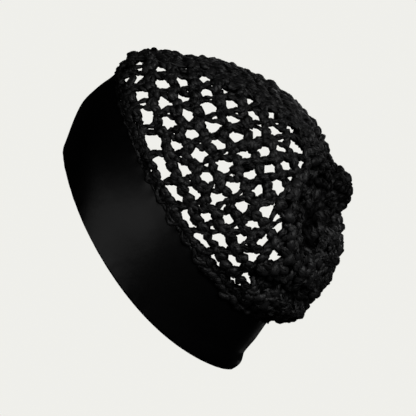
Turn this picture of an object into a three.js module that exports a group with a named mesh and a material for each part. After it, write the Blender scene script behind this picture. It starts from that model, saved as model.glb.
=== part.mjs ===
// Sleep bonnet: a wide satin band, a crocheted heading on its upper edge, an open net crown and the
// gather that draws the crown together at the back.
// Millimetres, +Z up, +X towards the back of the head, and the mid-plane at Y = 0.
// The origin is the middle of the head hollow, level with the middle of the band.
import * as THREE from 'three';

// Driving dimensions
const BAND_WALL = 2.2; // two layers of satin over a soft elastic
const RIM_FOLD = 3.0; // thickness of the soft fold along the rim
const FOLD_POWER = 4; // how late the wall thickens towards the fold
const HEADING_WIDTH = 6.0; // the crocheted row that joins the net to the band
const HEADING_THICKNESS = 6.4;
const NET_THICKNESS = 4.6; // crocheted ribbon yarn, through the net
const SEWN_GAP = 0.5; // between pieces that are sewn to each other
const NET_START = 7.4; // from the seam, past the heading
const NET_END = 10.5; // ring at which the crown stops, under the gather

// Rings round the head, from the rim of the band to the end of the crown. Each crosses the mid-plane at
// its top and low ends and reaches half its width to each side, and its sides bow forwards over the ears,
// by more towards the nape where the bow leans.
// Rings -2 to 0 are the band, ring 0 is the seam, and rings 1 to 10 are the rounds of the net.
const RINGS = [
  { at: -2.0, topX: -87.0, topZ: 63.0, lowX: 51.8, lowZ: -115.5, half: 75, bow: 33.5, lean: 0.16 },
  { at: -1.0, topX: -72.5, topZ: 99.0, lowX: 66.5, lowZ: -95.5, half: 79, bow: 29.0, lean: 0.12 },
  { at: -0.5, topX: -59.0, topZ: 113.5, lowX: 72.5, lowZ: -86.0, half: 80, bow: 26.5, lean: 0.08 },
  { at: 0.0, topX: -43.5, topZ: 125.5, lowX: 78.5, lowZ: -77.5, half: 80, bow: 24.0, lean: 0.06 },
  { at: 0.5, topX: -37.5, topZ: 139.0, lowX: 83.0, lowZ: -74.5, half: 82, bow: 26.0, lean: 0.04 },
  { at: 1.0, topX: -25.5, topZ: 144.0, lowX: 89.0, lowZ: -75.5, half: 84, bow: 27.5, lean: 0.02 },
  { at: 2.0, topX: -6.5, topZ: 144.0, lowX: 99.5, lowZ: -74.5, half: 87, bow: 28.5, lean: 0.02 },
  { at: 3.0, topX: 12.5, topZ: 139.5, lowX: 109.5, lowZ: -67.0, half: 88, bow: 26.5, lean: 0.02 },
  { at: 4.0, topX: 31.5, topZ: 137.5, lowX: 119.5, lowZ: -54.0, half: 87, bow: 26.0, lean: 0.05 },
  { at: 5.0, topX: 50.5, topZ: 132.0, lowX: 130.0, lowZ: -37.5, half: 83, bow: 24.5, lean: 0.1 },
  { at: 6.0, topX: 68.5, topZ: 124.0, lowX: 136.0, lowZ: -22.0, half: 75, bow: 21.5, lean: 0.12 },
  { at: 7.0, topX: 86.0, topZ: 114.0, lowX: 137.5, lowZ: -7.5, half: 64, bow: 18.5, lean: 0.12 },
  { at: 8.0, topX: 102.5, topZ: 100.5, lowX: 137.5, lowZ: 3.0, half: 51, bow: 13.0, lean: 0.1 },
  { at: 9.0, topX: 117.5, topZ: 82.0, lowX: 137.5, lowZ: 9.0, half: 38, bow: 8.0, lean: 0.05 },
  { at: 10.0, topX: 127.5, topZ: 57.5, lowX: 138.0, lowZ: 13.5, half: 23, bow: 3.5, lean: 0.0 },
  { at: 11.0, topX: 132.0, topZ: 43.0, lowX: 136.5, lowZ: 21.5, half: 11, bow: 1.0, lean: 0.0 },
];
const BOW_POWER = 1.3; // 1 bends the ring as a tilted ellipse, 2 as an even arch
const BOW_ROUNDING = 0.15; // softens the bend where the ring crosses the mid-plane

// Rounds of meshes. The first mesh stands this many meshes from the top, and the meshes stand open from
// openFrom to openTo, in degrees from the top, on each side.
const ROUNDS = [
  { at: 1, meshes: 33, first: 0.97, openFrom: 18, openTo: 134 },
  { at: 2, meshes: 35, first: 0.55, openFrom: 30, openTo: 132 },
  { at: 3, meshes: 37, first: 0.4, openFrom: 28, openTo: 122 },
  { at: 4, meshes: 37, first: 0.13, openFrom: 28, openTo: 132 },
  { at: 5, meshes: 36, first: 0.6, openFrom: 38, openTo: 120 },
  { at: 6, meshes: 31, first: 0.43, openFrom: 36, openTo: 106 },
  { at: 7, meshes: 27, first: 0.54, openFrom: 44, openTo: 104 },
  { at: 8, meshes: 22, first: 0.32, openFrom: 48, openTo: 90 },
  { at: 9, meshes: 18, first: 0.5, openFrom: 0, openTo: 0 },
  { at: 10, meshes: 14, first: 0.0, openFrom: 0, openTo: 0 },
];
const FIRST_WAIST = 0.75; // the first round is the tallest, so its posts bend here
const HOLE_SHARE = 0.6; // an open mesh's hole, as a share of the mesh
const POST_PULL = 0.14; // how far a post draws the line that it meets, in rings
const POST_MEET = 0.22; // posts nearer than this share of a mesh meet in one knot
const MIDDLE_MEET = 0.3; // a post nearer than this to the mid-plane stands on it
const MIDDLE_SPARE = 0.8; // a middle mesh with more than this on each side is divided

// Creases and ridges of the slouch at the back, as lines seen from the side.
const CREASES = [
  { fromX: 90, fromZ: 26, toX: 102, toZ: -6, width: 8, height: 4 },
  { fromX: 113, fromZ: 12, toX: 111, toZ: -16, width: 8, height: -7 },
  { fromX: 64, fromZ: -34, toX: 104, toZ: -57, width: 7, height: -6 },
  { fromX: 70, fromZ: -56, toX: 108, toZ: -68, width: 8, height: 3 },
];

// The gather: rings of its lumpy knob, along its own axis from the net outwards.
const GATHER = [
  { radius: 12.5, height: 0.0 },
  { radius: 17.0, height: 0.6 },
  { radius: 18.4, height: 3.4 },
  { radius: 16.8, height: 6.8 },
  { radius: 12.0, height: 9.4 },
  { radius: 5.6, height: 10.3 },
];
const GATHER_LOBES = 8;
const GATHER_LOBE_DEPTH = 0.09; // of the radius
const GATHER_DIMPLE = 8.6; // height of the drawn-in middle
const GATHER_SEAT = 2.1; // from the middle of the net's last ring to the knob's base
const GATHER_SIDES = 32;

const BAND_SIDES = 72;
const BAND_STEPS = 6; // rows of faces from the seam to the rim
const FOLD_STEPS = 4; // round the rim's fold
const HEADING_SIDES = 72;
const ROPE_SIDES = 8;
const ROPE_LUMP = 0.84; // every second section of the heading, between two stitches
const TURN = 2 * Math.PI;

const COLUMNS = ['topX', 'topZ', 'lowX', 'lowZ', 'half', 'bow', 'lean'];

// A ring at any place between the table's rows, on a smooth curve through them.
function ringAt(at) {
  const last = RINGS.length - 1;
  let i = 0;
  while (i < last - 1 && at > RINGS[i + 1].at) i += 1;
  const before = RINGS[Math.max(i - 1, 0)];
  const from = RINGS[i];
  const to = RINGS[i + 1];
  const after = RINGS[Math.min(i + 2, last)];
  const span = to.at - from.at;
  const t = (at - from.at) / span;
  const ring = {};
  for (const column of COLUMNS) {
    const leave = (span * (to[column] - before[column])) / (to.at - before.at);
    const arrive = (span * (after[column] - from[column])) / (after.at - from.at);
    const rise = to[column] - from[column];
    const bend = t * (1 - t) * ((leave - rise) * (1 - t) - (arrive - rise) * t);
    ring[column] = from[column] + rise * t + bend;
  }
  return ring;
}

// How far along its bow a ring stands: 0 on the mid-plane, 1 at its widest.
function bowShape(angle) {
  const lift = (square) => Math.pow(square + BOW_ROUNDING ** 2, BOW_POWER / 2);
  return (lift(Math.sin(angle) ** 2) - lift(0)) / (lift(1) - lift(0));
}

// A point of the middle surface. Angles run from the top, down the near side and back up the far side.
function surface(at, angle) {
  const ring = ringAt(at);
  const armX = (ring.topX - ring.lowX) / 2;
  const armZ = (ring.topZ - ring.lowZ) / 2;
  const depth = ring.bow * bowShape(angle) * (1 - ring.lean * Math.cos(angle));
  const bow = depth / Math.hypot(armX, armZ);
  return new THREE.Vector3(
    (ring.topX + ring.lowX) / 2 + armX * Math.cos(angle) - armZ * bow,
    -ring.half * Math.sin(angle),
    (ring.topZ + ring.lowZ) / 2 + armZ * Math.cos(angle) + armX * bow,
  );
}

// The directions along the surface towards the crown and outwards through it.
function directions(at, angle) {
  const step = 0.01;
  const along = surface(at + step, angle).sub(surface(at - step, angle)).normalize();
  const round = surface(at, angle + step).sub(surface(at, angle - step)).normalize();
  const out = new THREE.Vector3().crossVectors(round, along).normalize();
  return { along, out };
}

// How far the creases and ridges lift the net at a point, seen from the side.
function creaseHeight(point) {
  let height = 0;
  for (const crease of CREASES) {
    const from = new THREE.Vector2(crease.fromX, crease.fromZ);
    const line = new THREE.Vector2(crease.toX, crease.toZ).sub(from);
    const place = new THREE.Vector2(point.x, point.z).sub(from);
    const share = THREE.MathUtils.clamp(place.dot(line) / line.lengthSq(), 0, 1);
    const distance = place.addScaledVector(line, -share).length();
    height += crease.height * Math.exp(-((distance / crease.width) ** 2));
  }
  return height;
}

// A point at some height over the middle surface.
function over(at, angle, height) {
  return surface(at, angle).addScaledVector(directions(at, angle).out, height);
}

function overNet(at, angle, height) {
  return over(at, angle, height + creaseHeight(surface(at, angle)));
}

// The place on the surface that lies this far from the seam, measured towards the crown.
function placeFromSeam(angle, distance) {
  const step = 0.01;
  let at = 0;
  let walked = 0;
  let point = surface(at, angle);
  while (walked < distance) {
    at += step;
    const next = surface(at, angle);
    walked += next.distanceTo(point);
    point = next;
  }
  return at;
}

// A closed mesh from points and triangles, turned so that its faces point out.
function closedSkin(points, triangles) {
  let volume = 0;
  for (const [a, b, c] of triangles) {
    volume += points[a].dot(new THREE.Vector3().crossVectors(points[b], points[c]));
  }
  const faces = volume > 0 ? triangles : triangles.map(([a, b, c]) => [a, c, b]);
  const geometry = new THREE.BufferGeometry();
  geometry.setFromPoints(points);
  geometry.setIndex(faces.flat());
  geometry.computeVertexNormals();
  return geometry;
}

// Joins closed sections, set one after another round a loop, into one skin.
function loopSkin(sections) {
  const points = sections.flat();
  const size = sections[0].length;
  const triangles = [];
  for (let i = 0; i < sections.length; i++) {
    const here = i * size;
    const next = ((i + 1) % sections.length) * size;
    for (let j = 0; j < size; j++) {
      const k = (j + 1) % size;
      triangles.push([here + j, here + k, next + k]);
      triangles.push([here + j, next + k, next + j]);
    }
  }
  return closedSkin(points, triangles);
}

// One section of the band: down its outer wall, round the rim's fold and up its inner wall.
function bandSection(angle) {
  const rim = -2;
  const wall = [];
  for (let i = 0; i < BAND_STEPS; i++) {
    const share = i / BAND_STEPS;
    const thickness = BAND_WALL + (RIM_FOLD - BAND_WALL) * share ** FOLD_POWER;
    wall.push({ at: rim * share, height: thickness / 2 });
  }
  const outer = wall.map(({ at, height }) => over(at, angle, height));
  const inner = wall.map(({ at, height }) => over(at, angle, -height)).reverse();
  const { along, out } = directions(rim, angle);
  const centre = surface(rim, angle).addScaledVector(along, RIM_FOLD / 2);
  const fold = [];
  for (let i = 0; i <= FOLD_STEPS; i++) {
    const turn = (Math.PI * i) / FOLD_STEPS;
    const point = centre.clone().addScaledVector(out, (Math.cos(turn) * RIM_FOLD) / 2);
    fold.push(point.addScaledVector(along, (-Math.sin(turn) * RIM_FOLD) / 2));
  }
  return [...outer, ...fold, ...inner];
}

function bandGeometry() {
  const sections = [];
  for (let i = 0; i < BAND_SIDES; i++) sections.push(bandSection((TURN * i) / BAND_SIDES));
  return loopSkin(sections);
}

// The heading is a thick rope of stitches that stands on the band's upper edge.
function headingGeometry() {
  const sections = [];
  for (let i = 0; i < HEADING_SIDES; i++) {
    const angle = (TURN * i) / HEADING_SIDES;
    const at = placeFromSeam(angle, SEWN_GAP + HEADING_WIDTH / 2);
    const { along, out } = directions(at, angle);
    const lump = i % 2 === 0 ? 1 : ROPE_LUMP;
    const section = [];
    for (let j = 0; j < ROPE_SIDES; j++) {
      const turn = (TURN * (j + 0.5)) / ROPE_SIDES;
      const point = surface(at, angle);
      point.addScaledVector(along, (Math.cos(turn) * HEADING_WIDTH) / 2);
      section.push(point.addScaledVector(out, (Math.sin(turn) * HEADING_THICKNESS * lump) / 2));
    }
    sections.push(section);
  }
  return loopSkin(sections);
}

// The posts between a round's meshes, in order round the head and alike on both sides.
function postAngles(round) {
  const pitch = TURN / round.meshes;
  const near = [];
  let atTop = false;
  let atLow = false;
  for (let i = 0; (round.first - 0.5 + i) * pitch < Math.PI + MIDDLE_MEET * pitch; i++) {
    const angle = (round.first - 0.5 + i) * pitch;
    if (Math.abs(angle) < MIDDLE_MEET * pitch) atTop = true;
    else if (Math.abs(angle - Math.PI) < MIDDLE_MEET * pitch) atLow = true;
    else if (angle > 0) near.push(angle);
  }
  if (near[0] > MIDDLE_SPARE * pitch) atTop = true;
  if (Math.PI - near[near.length - 1] > MIDDLE_SPARE * pitch) atLow = true;
  const far = near.map((angle) => TURN - angle).reverse();
  return [...(atTop ? [0] : []), ...near, ...(atLow ? [Math.PI] : []), ...far];
}

// The line of knots between two rounds, or along the first or last one. Each knot holds its angle and
// ring, and the posts that meet in it are noted in the rounds' feet and heads.
function knotLine(at, below, above) {
  const knots = below.posts.map((angle, i) => ({ angle, at: at - POST_PULL, heads: [i], feet: [] }));
  above.posts.forEach((angle, i) => {
    const reach = (POST_MEET * TURN) / above.posts.length;
    const apart = (knot) => Math.abs(Math.atan2(Math.sin(knot.angle - angle), Math.cos(knot.angle - angle)));
    const meeting = knots.find((knot) => knot.feet.length === 0 && apart(knot) < reach);
    if (meeting) {
      meeting.at = at;
      meeting.feet.push(i);
    } else {
      knots.push({ angle, at: at + POST_PULL, heads: [], feet: [i] });
    }
  });
  knots.sort((a, b) => a.angle - b.angle);
  return knots;
}

function edgeLine(posts, side, placeOf) {
  return posts.map((angle, i) => ({ angle, at: placeOf(angle), heads: [], feet: [], [side]: [i] }));
}

// The knots of a line from one post to the next, the second one included.
function between(line, side, post, count) {
  const from = line.findIndex((knot) => knot[side].includes(post));
  const to = line.findIndex((knot) => knot[side].includes((post + 1) % count));
  const picked = [line[from]];
  for (let i = (from + 1) % line.length; i !== to; i = (i + 1) % line.length) picked.push(line[i]);
  picked.push(line[to]);
  return picked;
}

// The crown: a shell of meshes between knots, with a hole through each mesh that stands open.
function netGeometry() {
  const rounds = ROUNDS.map((round) => ({ ...round, posts: postAngles(round) }));
  const lines = [edgeLine(rounds[0].posts, 'feet', (angle) => placeFromSeam(angle, NET_START))];
  for (let i = 1; i < rounds.length; i++) {
    lines.push(knotLine((rounds[i - 1].at + rounds[i].at) / 2, rounds[i - 1], rounds[i]));
  }
  lines.push(edgeLine(rounds[rounds.length - 1].posts, 'heads', () => NET_END));

  const points = [];
  const triangles = [];
  const pair = (place) => {
    points.push(overNet(place.at, place.angle, NET_THICKNESS / 2));
    points.push(overNet(place.at, place.angle, -NET_THICKNESS / 2));
    return points.length - 2;
  };
  const bothFaces = (a, b, c) => {
    triangles.push([a, b, c], [a + 1, c + 1, b + 1]);
  };
  const wall = (a, b) => {
    triangles.push([a, b, b + 1], [a, b + 1, a + 1]);
  };
  for (const line of lines) for (const knot of line) knot.pair = pair(knot);
  rounds[0].waists = rounds[0].posts.map((angle) => ({ angle, at: FIRST_WAIST }));
  for (const waist of rounds[0].waists) waist.pair = pair(waist);

  rounds.forEach((round, r) => {
    const count = round.posts.length;
    for (let i = 0; i < count; i++) {
      const foot = between(lines[r], 'feet', i, count);
      const head = between(lines[r + 1], 'heads', i, count).reverse();
      const start = round.posts[i];
      const right = round.waists ? [round.waists[(i + 1) % count]] : [];
      const left = round.waists ? [round.waists[i]] : [];
      const corners = [...foot, ...right, ...head, ...left].map((knot) => {
        const turns = Math.round((knot.angle - start - Math.PI / round.meshes) / TURN);
        return { pair: knot.pair, at: knot.at, angle: knot.angle - turns * TURN };
      });
      const middle = { at: 0, angle: 0 };
      for (const corner of corners) {
        middle.at += corner.at / corners.length;
        middle.angle += corner.angle / corners.length;
      }
      const fromTop = THREE.MathUtils.radToDeg(Math.acos(Math.cos(middle.angle)));
      const open = fromTop > round.openFrom && fromTop < round.openTo;
      const inner = corners.map((corner) => {
        if (!open) return null;
        return pair({
          at: middle.at + (corner.at - middle.at) * HOLE_SHARE,
          angle: middle.angle + (corner.angle - middle.angle) * HOLE_SHARE,
        });
      });
      const centre = open ? null : pair(middle);
      for (let j = 0; j < corners.length; j++) {
        const k = (j + 1) % corners.length;
        const from = corners[j].pair;
        const to = corners[k].pair;
        if (open) {
          bothFaces(from, to, inner[k]);
          bothFaces(from, inner[k], inner[j]);
          wall(inner[j], inner[k]);
        } else {
          bothFaces(from, to, centre);
        }
      }
    }
  });
  const rimWall = (line, turned) => {
    for (let i = 0; i < line.length; i++) {
      const here = line[i].pair;
      const next = line[(i + 1) % line.length].pair;
      if (turned) wall(next, here);
      else wall(here, next);
    }
  };
  rimWall(lines[0], true);
  rimWall(lines[lines.length - 1], false);
  return closedSkin(points, triangles);
}

// The gather: the last rounds drawn up into a knob with a lobe for each fold and a drawn-in middle.
function gatherGeometry() {
  const points = [];
  const triangles = [];
  for (const ring of GATHER) {
    for (let i = 0; i < GATHER_SIDES; i++) {
      const angle = (TURN * i) / GATHER_SIDES;
      const radius = ring.radius * (1 + GATHER_LOBE_DEPTH * Math.cos(GATHER_LOBES * angle));
      points.push(new THREE.Vector3(radius * Math.cos(angle), radius * Math.sin(angle), ring.height));
    }
  }
  const base = points.push(new THREE.Vector3(0, 0, 0)) - 1;
  const dimple = points.push(new THREE.Vector3(0, 0, GATHER_DIMPLE)) - 1;
  const top = (GATHER.length - 1) * GATHER_SIDES;
  for (let i = 0; i < GATHER_SIDES; i++) {
    const k = (i + 1) % GATHER_SIDES;
    triangles.push([base, k, i], [dimple, top + i, top + k]);
    for (let row = 0; row < top; row += GATHER_SIDES) {
      triangles.push([row + i, row + k, row + GATHER_SIDES + k]);
      triangles.push([row + i, row + GATHER_SIDES + k, row + GATHER_SIDES + i]);
    }
  }
  return closedSkin(points, triangles);
}

function namedMesh(name, geometry, material) {
  const mesh = new THREE.Mesh(geometry, material);
  mesh.name = name;
  return mesh;
}

const satin = new THREE.MeshStandardMaterial({ color: 0x0c0c0d, roughness: 0.34, metalness: 0 });
const yarn = new THREE.MeshStandardMaterial({ color: 0x141415, roughness: 0.55, metalness: 0 });

const group = new THREE.Group();
group.add(namedMesh('band', bandGeometry(), satin));
group.add(namedMesh('net_heading', headingGeometry(), yarn));
group.add(namedMesh('crown_net', netGeometry(), yarn));

// The gather sits on the end of the crown, square to its last ring.
const gather = namedMesh('crown_gather', gatherGeometry(), yarn);
const lastRing = ringAt(NET_END);
const gatherAxis = new THREE.Vector3(lastRing.topZ - lastRing.lowZ, 0, lastRing.lowX - lastRing.topX);
gatherAxis.normalize();
const gatherSeat = surface(NET_END, 0).add(surface(NET_END, Math.PI)).multiplyScalar(0.5);
gather.position.copy(gatherSeat.addScaledVector(gatherAxis, GATHER_SEAT));
gather.quaternion.setFromUnitVectors(new THREE.Vector3(0, 0, 1), gatherAxis);
group.add(gather);

export default group;
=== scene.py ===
"""Sleep bonnet: a wide satin band and an open crochet crown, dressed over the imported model.

The tables hold millimetres in the model's own frame: +Z up as worn, +X towards the back of the head and
the mid-plane at Y = 0. Rings run from the band's rim (-2) over the seam (0) to the end of the net, and
angles from the top, down the near side and back up the far side.
"""

import math
from collections import namedtuple

import bpy
import numpy as np
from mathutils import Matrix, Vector


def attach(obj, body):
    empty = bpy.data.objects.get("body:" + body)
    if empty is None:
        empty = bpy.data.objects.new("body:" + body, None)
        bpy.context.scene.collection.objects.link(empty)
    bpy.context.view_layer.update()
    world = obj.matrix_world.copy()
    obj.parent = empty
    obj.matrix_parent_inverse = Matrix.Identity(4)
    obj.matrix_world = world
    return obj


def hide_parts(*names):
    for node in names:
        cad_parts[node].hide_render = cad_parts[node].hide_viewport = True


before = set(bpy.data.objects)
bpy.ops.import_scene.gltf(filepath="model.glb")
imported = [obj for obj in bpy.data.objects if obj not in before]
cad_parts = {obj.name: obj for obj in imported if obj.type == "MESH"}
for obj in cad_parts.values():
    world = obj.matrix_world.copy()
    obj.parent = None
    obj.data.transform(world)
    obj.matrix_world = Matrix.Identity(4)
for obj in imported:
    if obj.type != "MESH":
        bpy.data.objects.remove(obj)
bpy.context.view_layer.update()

bl_info = {
    "name": "Sleep bonnet",
    "version": (1, 0, 0),
    "blender": (4, 5, 0),
    "location": "3D View > Sidebar > Bonnet",
    "description": "Makes a sleep bonnet with a satin band and a crochet crown",
    "category": "Object",
}

MM = 0.001
TURN = 2 * math.pi
BODY = "root"
# The step, in rings or radians, over which a slope is measured.
SLOPE_STEP = 0.01

Ring = namedtuple("Ring", "at top_x top_z low_x low_z half bow lean")
RINGS = (
    Ring(-2.0, -87.0, 63.0, 51.8, -115.5, 75, 33.5, 0.16),
    Ring(-1.0, -72.5, 99.0, 66.5, -95.5, 79, 29.0, 0.12),
    Ring(-0.5, -59.0, 113.5, 72.5, -86.0, 80, 26.5, 0.08),
    Ring(0.0, -43.5, 125.5, 78.5, -77.5, 80, 24.0, 0.06),
    Ring(0.5, -37.5, 139.0, 83.0, -74.5, 82, 26.0, 0.04),
    Ring(1.0, -25.5, 144.0, 89.0, -75.5, 84, 27.5, 0.02),
    Ring(2.0, -6.5, 144.0, 99.5, -74.5, 87, 28.5, 0.02),
    Ring(3.0, 12.5, 139.5, 109.5, -67.0, 88, 26.5, 0.02),
    Ring(4.0, 31.5, 137.5, 119.5, -54.0, 87, 26.0, 0.05),
    Ring(5.0, 50.5, 132.0, 130.0, -37.5, 83, 24.5, 0.1),
    Ring(6.0, 68.5, 124.0, 136.0, -22.0, 75, 21.5, 0.12),
    Ring(7.0, 86.0, 114.0, 137.5, -7.5, 64, 18.5, 0.12),
    Ring(8.0, 102.5, 100.5, 137.5, 3.0, 51, 13.0, 0.1),
    Ring(9.0, 117.5, 82.0, 137.5, 9.0, 38, 8.0, 0.05),
    Ring(10.0, 127.5, 57.5, 138.0, 13.5, 23, 3.5, 0.0),
    Ring(11.0, 132.0, 43.0, 136.5, 21.5, 11, 1.0, 0.0),
)
# A power of 1 bends a ring as a tilted ellipse and 2 as an even arch. The rounding softens the bend where
# the ring crosses the mid-plane.
BOW_POWER = 1.3
BOW_ROUNDING = 0.15
RIM = RINGS[0].at

# The satin band: its columns and rows of faces, how much closer the rows lie at the rim, the rows of its
# fold, how late the wall thickens towards the fold, and the ring's length in metres.
BAND_SIDES = 360
BAND_STEPS = 40
BAND_CROWDING = 1.5
FOLD_STEPS = 10
FOLD_POWER = 4
RING_LENGTH = 0.61
# The turned-in hem at the nape: how far the cloth leaves its even course outwards and down, by the share
# of the way from the seam to the rim, and over which angle in radians it fades out.
Hem = namedtuple("Hem", "share out down")
HEM = (
    Hem(0.0, 0.0, 0.0),
    Hem(0.4, -0.5, 0.0),
    Hem(0.57, -1.3, 0.0),
    Hem(0.74, -1.7, 0.0),
    Hem(0.8, -0.7, 0.0),
    Hem(0.87, 0.5, 0.0),
    Hem(0.935, 0.6, 0.0),
    Hem(0.975, -0.2, 1.0),
    Hem(1.0, -1.9, 3.4),
)
NAPE_WIDTH = 0.5
# Heights of the cloth's broad waves and of its small puckers at the seam and the rim, and how many rings
# the puckers reach.
WAVE_HEIGHT = 0.45
SEAM_PUCKER = 0.45
SEAM_REACH = 0.16
RIM_PUCKER = 0.2
RIM_REACH = 0.2

# Rounds of meshes: how many, how many meshes from the top the first one stands, and the angles in degrees
# from the top between which the meshes stand open. Above and below them the net is bunched up.
Round = namedtuple("Round", "at meshes first open_from open_to")
ROUNDS = (
    Round(1, 33, 0.97, 12, 138),
    Round(2, 35, 0.55, 22, 137),
    Round(3, 37, 0.4, 22, 128),
    Round(4, 37, 0.13, 24, 134),
    Round(5, 36, 0.6, 34, 124),
    Round(6, 31, 0.43, 34, 110),
    Round(7, 27, 0.54, 42, 106),
    Round(8, 22, 0.32, 46, 92),
    Round(9, 18, 0.5, 90, 90),
    Round(10, 14, 0.0, 90, 90),
)
NET_END = 10.5
# The first meshes start this far from the seam, and further where the rise is, at an angle in degrees.
NET_START = 7.2
START_RISE = 2.6
START_RISE_AT = 72
START_RISE_WIDTH = 13
# Posts that stand nearly in line, by this share of a mesh, meet in one knot. The other knots are pulled
# off the line, in rings, and a post that ends at one has two legs, which stand this far apart.
POST_MEET = 0.22
POST_PULL = 0.14
LEG_SPREAD = 4.7
# A post this close to the mid-plane, as a share of a mesh, stands on it, and one is added where there is
# more room than the spare.
MIDDLE_MEET = 0.3
MIDDLE_SPARE = 0.8
# How far a knot drifts from its even place, in millimetres round the head and in rings.
KNOT_DRIFT = 1.0
RING_DRIFT = 0.06
# Thickness of the yarn, as a share of the full size: along the rings, in the legs, and in the first line
# and its posts.
Girth = namedtuple("Girth", "at share")
GIRTHS = (Girth(0.0, 1.0), Girth(5.0, 1.0), Girth(7.0, 0.9), Girth(8.0, 0.84), Girth(10.0, 0.7))
LEG = 0.56
FIRST_LINE = 0.84
FIRST_POST = 0.84
# How far a strand sways to each side: round the head, towards the crown in rings, and out.
STRAND_STEPS = 8
STRAND_SWAY = 1.3
RING_SWAY = 0.05
LIFT_SWAY = 0.9
KNOT_TILT = 0.35
# The shares between which the strands' thickness and the knots' size lie.
STRAND_GIRTHS = (0.88, 1.2)
KNOT_SIZES = (0.86, 1.16)
# How flat a strand lies: 0 is a round rope and 1 a flat braid.
POST_BRAID = 0.3
LINE_BRAID = 1.0
# Kinds of knots: their size, how high they lie, how flat they are and their share of painted light, which
# paints them darker, as shade, below 1.
Kind = namedtuple("Kind", "size height flat bare")
SHUT_KNOT = Kind(0.7, -3.2, 1.0, 0.4)
POST_KNOT = Kind(0.84, 0.2, 0.8, 1.0)
LEG_KNOT = Kind(0.7, 0.4, 0.0, 1.0)
LOW_KNOT = Kind(0.62, 0.2, 0.5, 1.0)
RIDGE_KNOT = Kind(0.76, -1.0, 1.0, 0.85)
# The yarn's path in a knot, how far its lobes reach and rise as shares of the knot's radius, and how much
# longer, narrower and lower a flat knot is.
KNOT_STEPS = 20
KNOT_SIDES = 5
KNOT_LOBES = 3.0
KNOT_TURNS = 2.0
LOBE_REACH = 0.5
LOBE_RISE = 0.55
FLAT_LONGER = 0.35
FLAT_NARROWER = 0.1
FLAT_LOWER = 0.4
# The yarn's thickness where it dips and where it puffs out, as shares, in a ply and in a knot.
PLY_GIRTHS = (0.84, 1.05)
LOBE_GIRTHS = (0.88, 1.08)
# How deep the plies of a rope swing, as a share of how far they swing to each side.
ROPE_DEPTH = 0.8
# How the yarn swells, and how a ply and the whole net stray from their path: how much, and how often in a
# metre.
Cloud = namedtuple("Cloud", "amount often")
SWELL = Cloud(0.4, 190.0)
PLY_STRAY = Cloud(1.4 * MM, 140.0)
NET_STRAY = Cloud(2.4 * MM, 150.0)

# Over the forehead the net starts with a low row of small meshes: its line of knots, by angle in degrees
# from the top, the angles of the posts that stand open under it, and those of the other knots.
LowRow = namedtuple("LowRow", "angle at")
LOW_ROW = (
    LowRow(0, 0.84),
    LowRow(28, 0.78),
    LowRow(38, 0.62),
    LowRow(50, 0.66),
    LowRow(60, 0.6),
    LowRow(66, 0.3),
)
LOW_POSTS = (34, 40.5, 48.5, 59)
LOW_STOPS = (0, 8, 16, 24, 54, 66)
LOW_START = 4.0
LOW_LINE = 0.66
LOW_POST = 0.6
# The low row's knots lie deeper before the first of these angles than after the second.
LOW_RISE = (20, 40)
LOW_HEIGHTS = (-1.4, LOW_KNOT.height)

# Folds of the net, seen from the side: a height under 0 is a crease. The yarn is painted darker in a crease,
# as shade, and lighter on a fold, as light, by a share of painted light within these limits.
Crease = namedtuple("Crease", "from_x from_z to_x to_z width height")
CREASES = (
    Crease(90, 30, 100, -22, 8, 5),
    Crease(113, 12, 111, -16, 8, -9),
    Crease(70, -42, 106, -60, 7, -8),
    Crease(70, -56, 106, -66, 8, 3),
    Crease(120, 44, 127, 8, 8, -4),
)
CREASE_SHADE = 6.0
LEAST_PAINTED_LIGHT = 0.15
MOST_PAINTED_LIGHT = 1.2

# The flat stitches along the top: the rows, their rings and those of the knots on them, from, to and step,
# how many degrees the rows lie apart, how deep, and how much deeper they lie round one ring.
RIDGE_ROWS = 12
RIDGE_RINGS = (0.6, 10.2, 0.2)
RIDGE_KNOT_RINGS = (0.7, 10.0, 0.9)
RIDGE_PITCH = 5.0
RIDGE_SINK = 3.2
RIDGE_STITCH = 24.0
RIDGE_GIRTH = 1.04
# The ridge's yarn is painted a little darker, as shade, by this share of painted light.
RIDGE_PAINTED_LIGHT = 0.85
RIDGE_DEPTH = 1.6
RIDGE_DIP = 1.4
RIDGE_DIP_AT = 1.5
RIDGE_DIP_WIDTH = 0.8
RIDGE_KNOT_SHARE = 0.16
# How far a row sways, as a share of the space between two rows, and up and down in millimetres, and how
# fast, in radians a ring.
RIDGE_SWAY = 0.25
RIDGE_SWAY_RATE = 2.3
RIDGE_WAVE = 0.5
RIDGE_WAVE_RATE = 3.1

# The bunched stitches under the slouch: the rings of their rows, how far apart they are, how far their
# height goes up and down, and how far they lie off their even places, as shares of the space round the
# head and between the rows.
SLOUCH_START = 0.5
SLOUCH_LAST = 10.4
SLOUCH_ROWS = 0.45
SLOUCH_PITCH = 8.0
# The bunched knots lie deep and are painted dark, as shade, by a small share of painted light.
SLOUCH_KNOT = Kind(1.04, -4.4, 0.5, 0.2)
SLOUCH_UNEVEN = 0.6
SLOUCH_TURN = 0.25
SLOUCH_SHIFT = 0.3
SLOUCH_END = 10.2

# The puffs of yarn that arch out of the slouch and back in. Where the slouch turns away from the side they
# lie wider apart, are larger and lean more, as far as at this share of facing it.
ARCH_START = 0.6
ARCH_END = 8.8
ARCH_ROWS = 0.42
ARCH_PITCH = 9.2
ARCH_LENGTH = 12.5
ARCH_RISE = 3.6
ARCH_FOOT = -3.6
ARCH_BEND = 3.2
ARCH_FACING = 0.5
# The puffs are painted lighter, as light falling on them, by this share of painted light.
ARCH_PAINTED_LIGHT = 1.9
# By how many degrees a puff leans at least, to either side by chance, and more as the slouch turns away.
ARCH_LEAN = 25
ARCH_LEAN_CHANCE = 60
ARCH_LEAN_MORE = 65
# How much larger a puff is as the slouch turns away, and the shares between which its length, its rise and
# its thickness lie.
ARCH_GROWTH = 0.3
ARCH_LENGTHS = (0.75, 1.25)
ARCH_RISES = (0.6, 1.4)
ARCH_GIRTHS = (1.15, 1.55)
# The first puffs of each row overlap the open meshes by this much and lie this much higher.
ARCH_LAP = 3.5
ARCH_EDGE = 1.2
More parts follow.
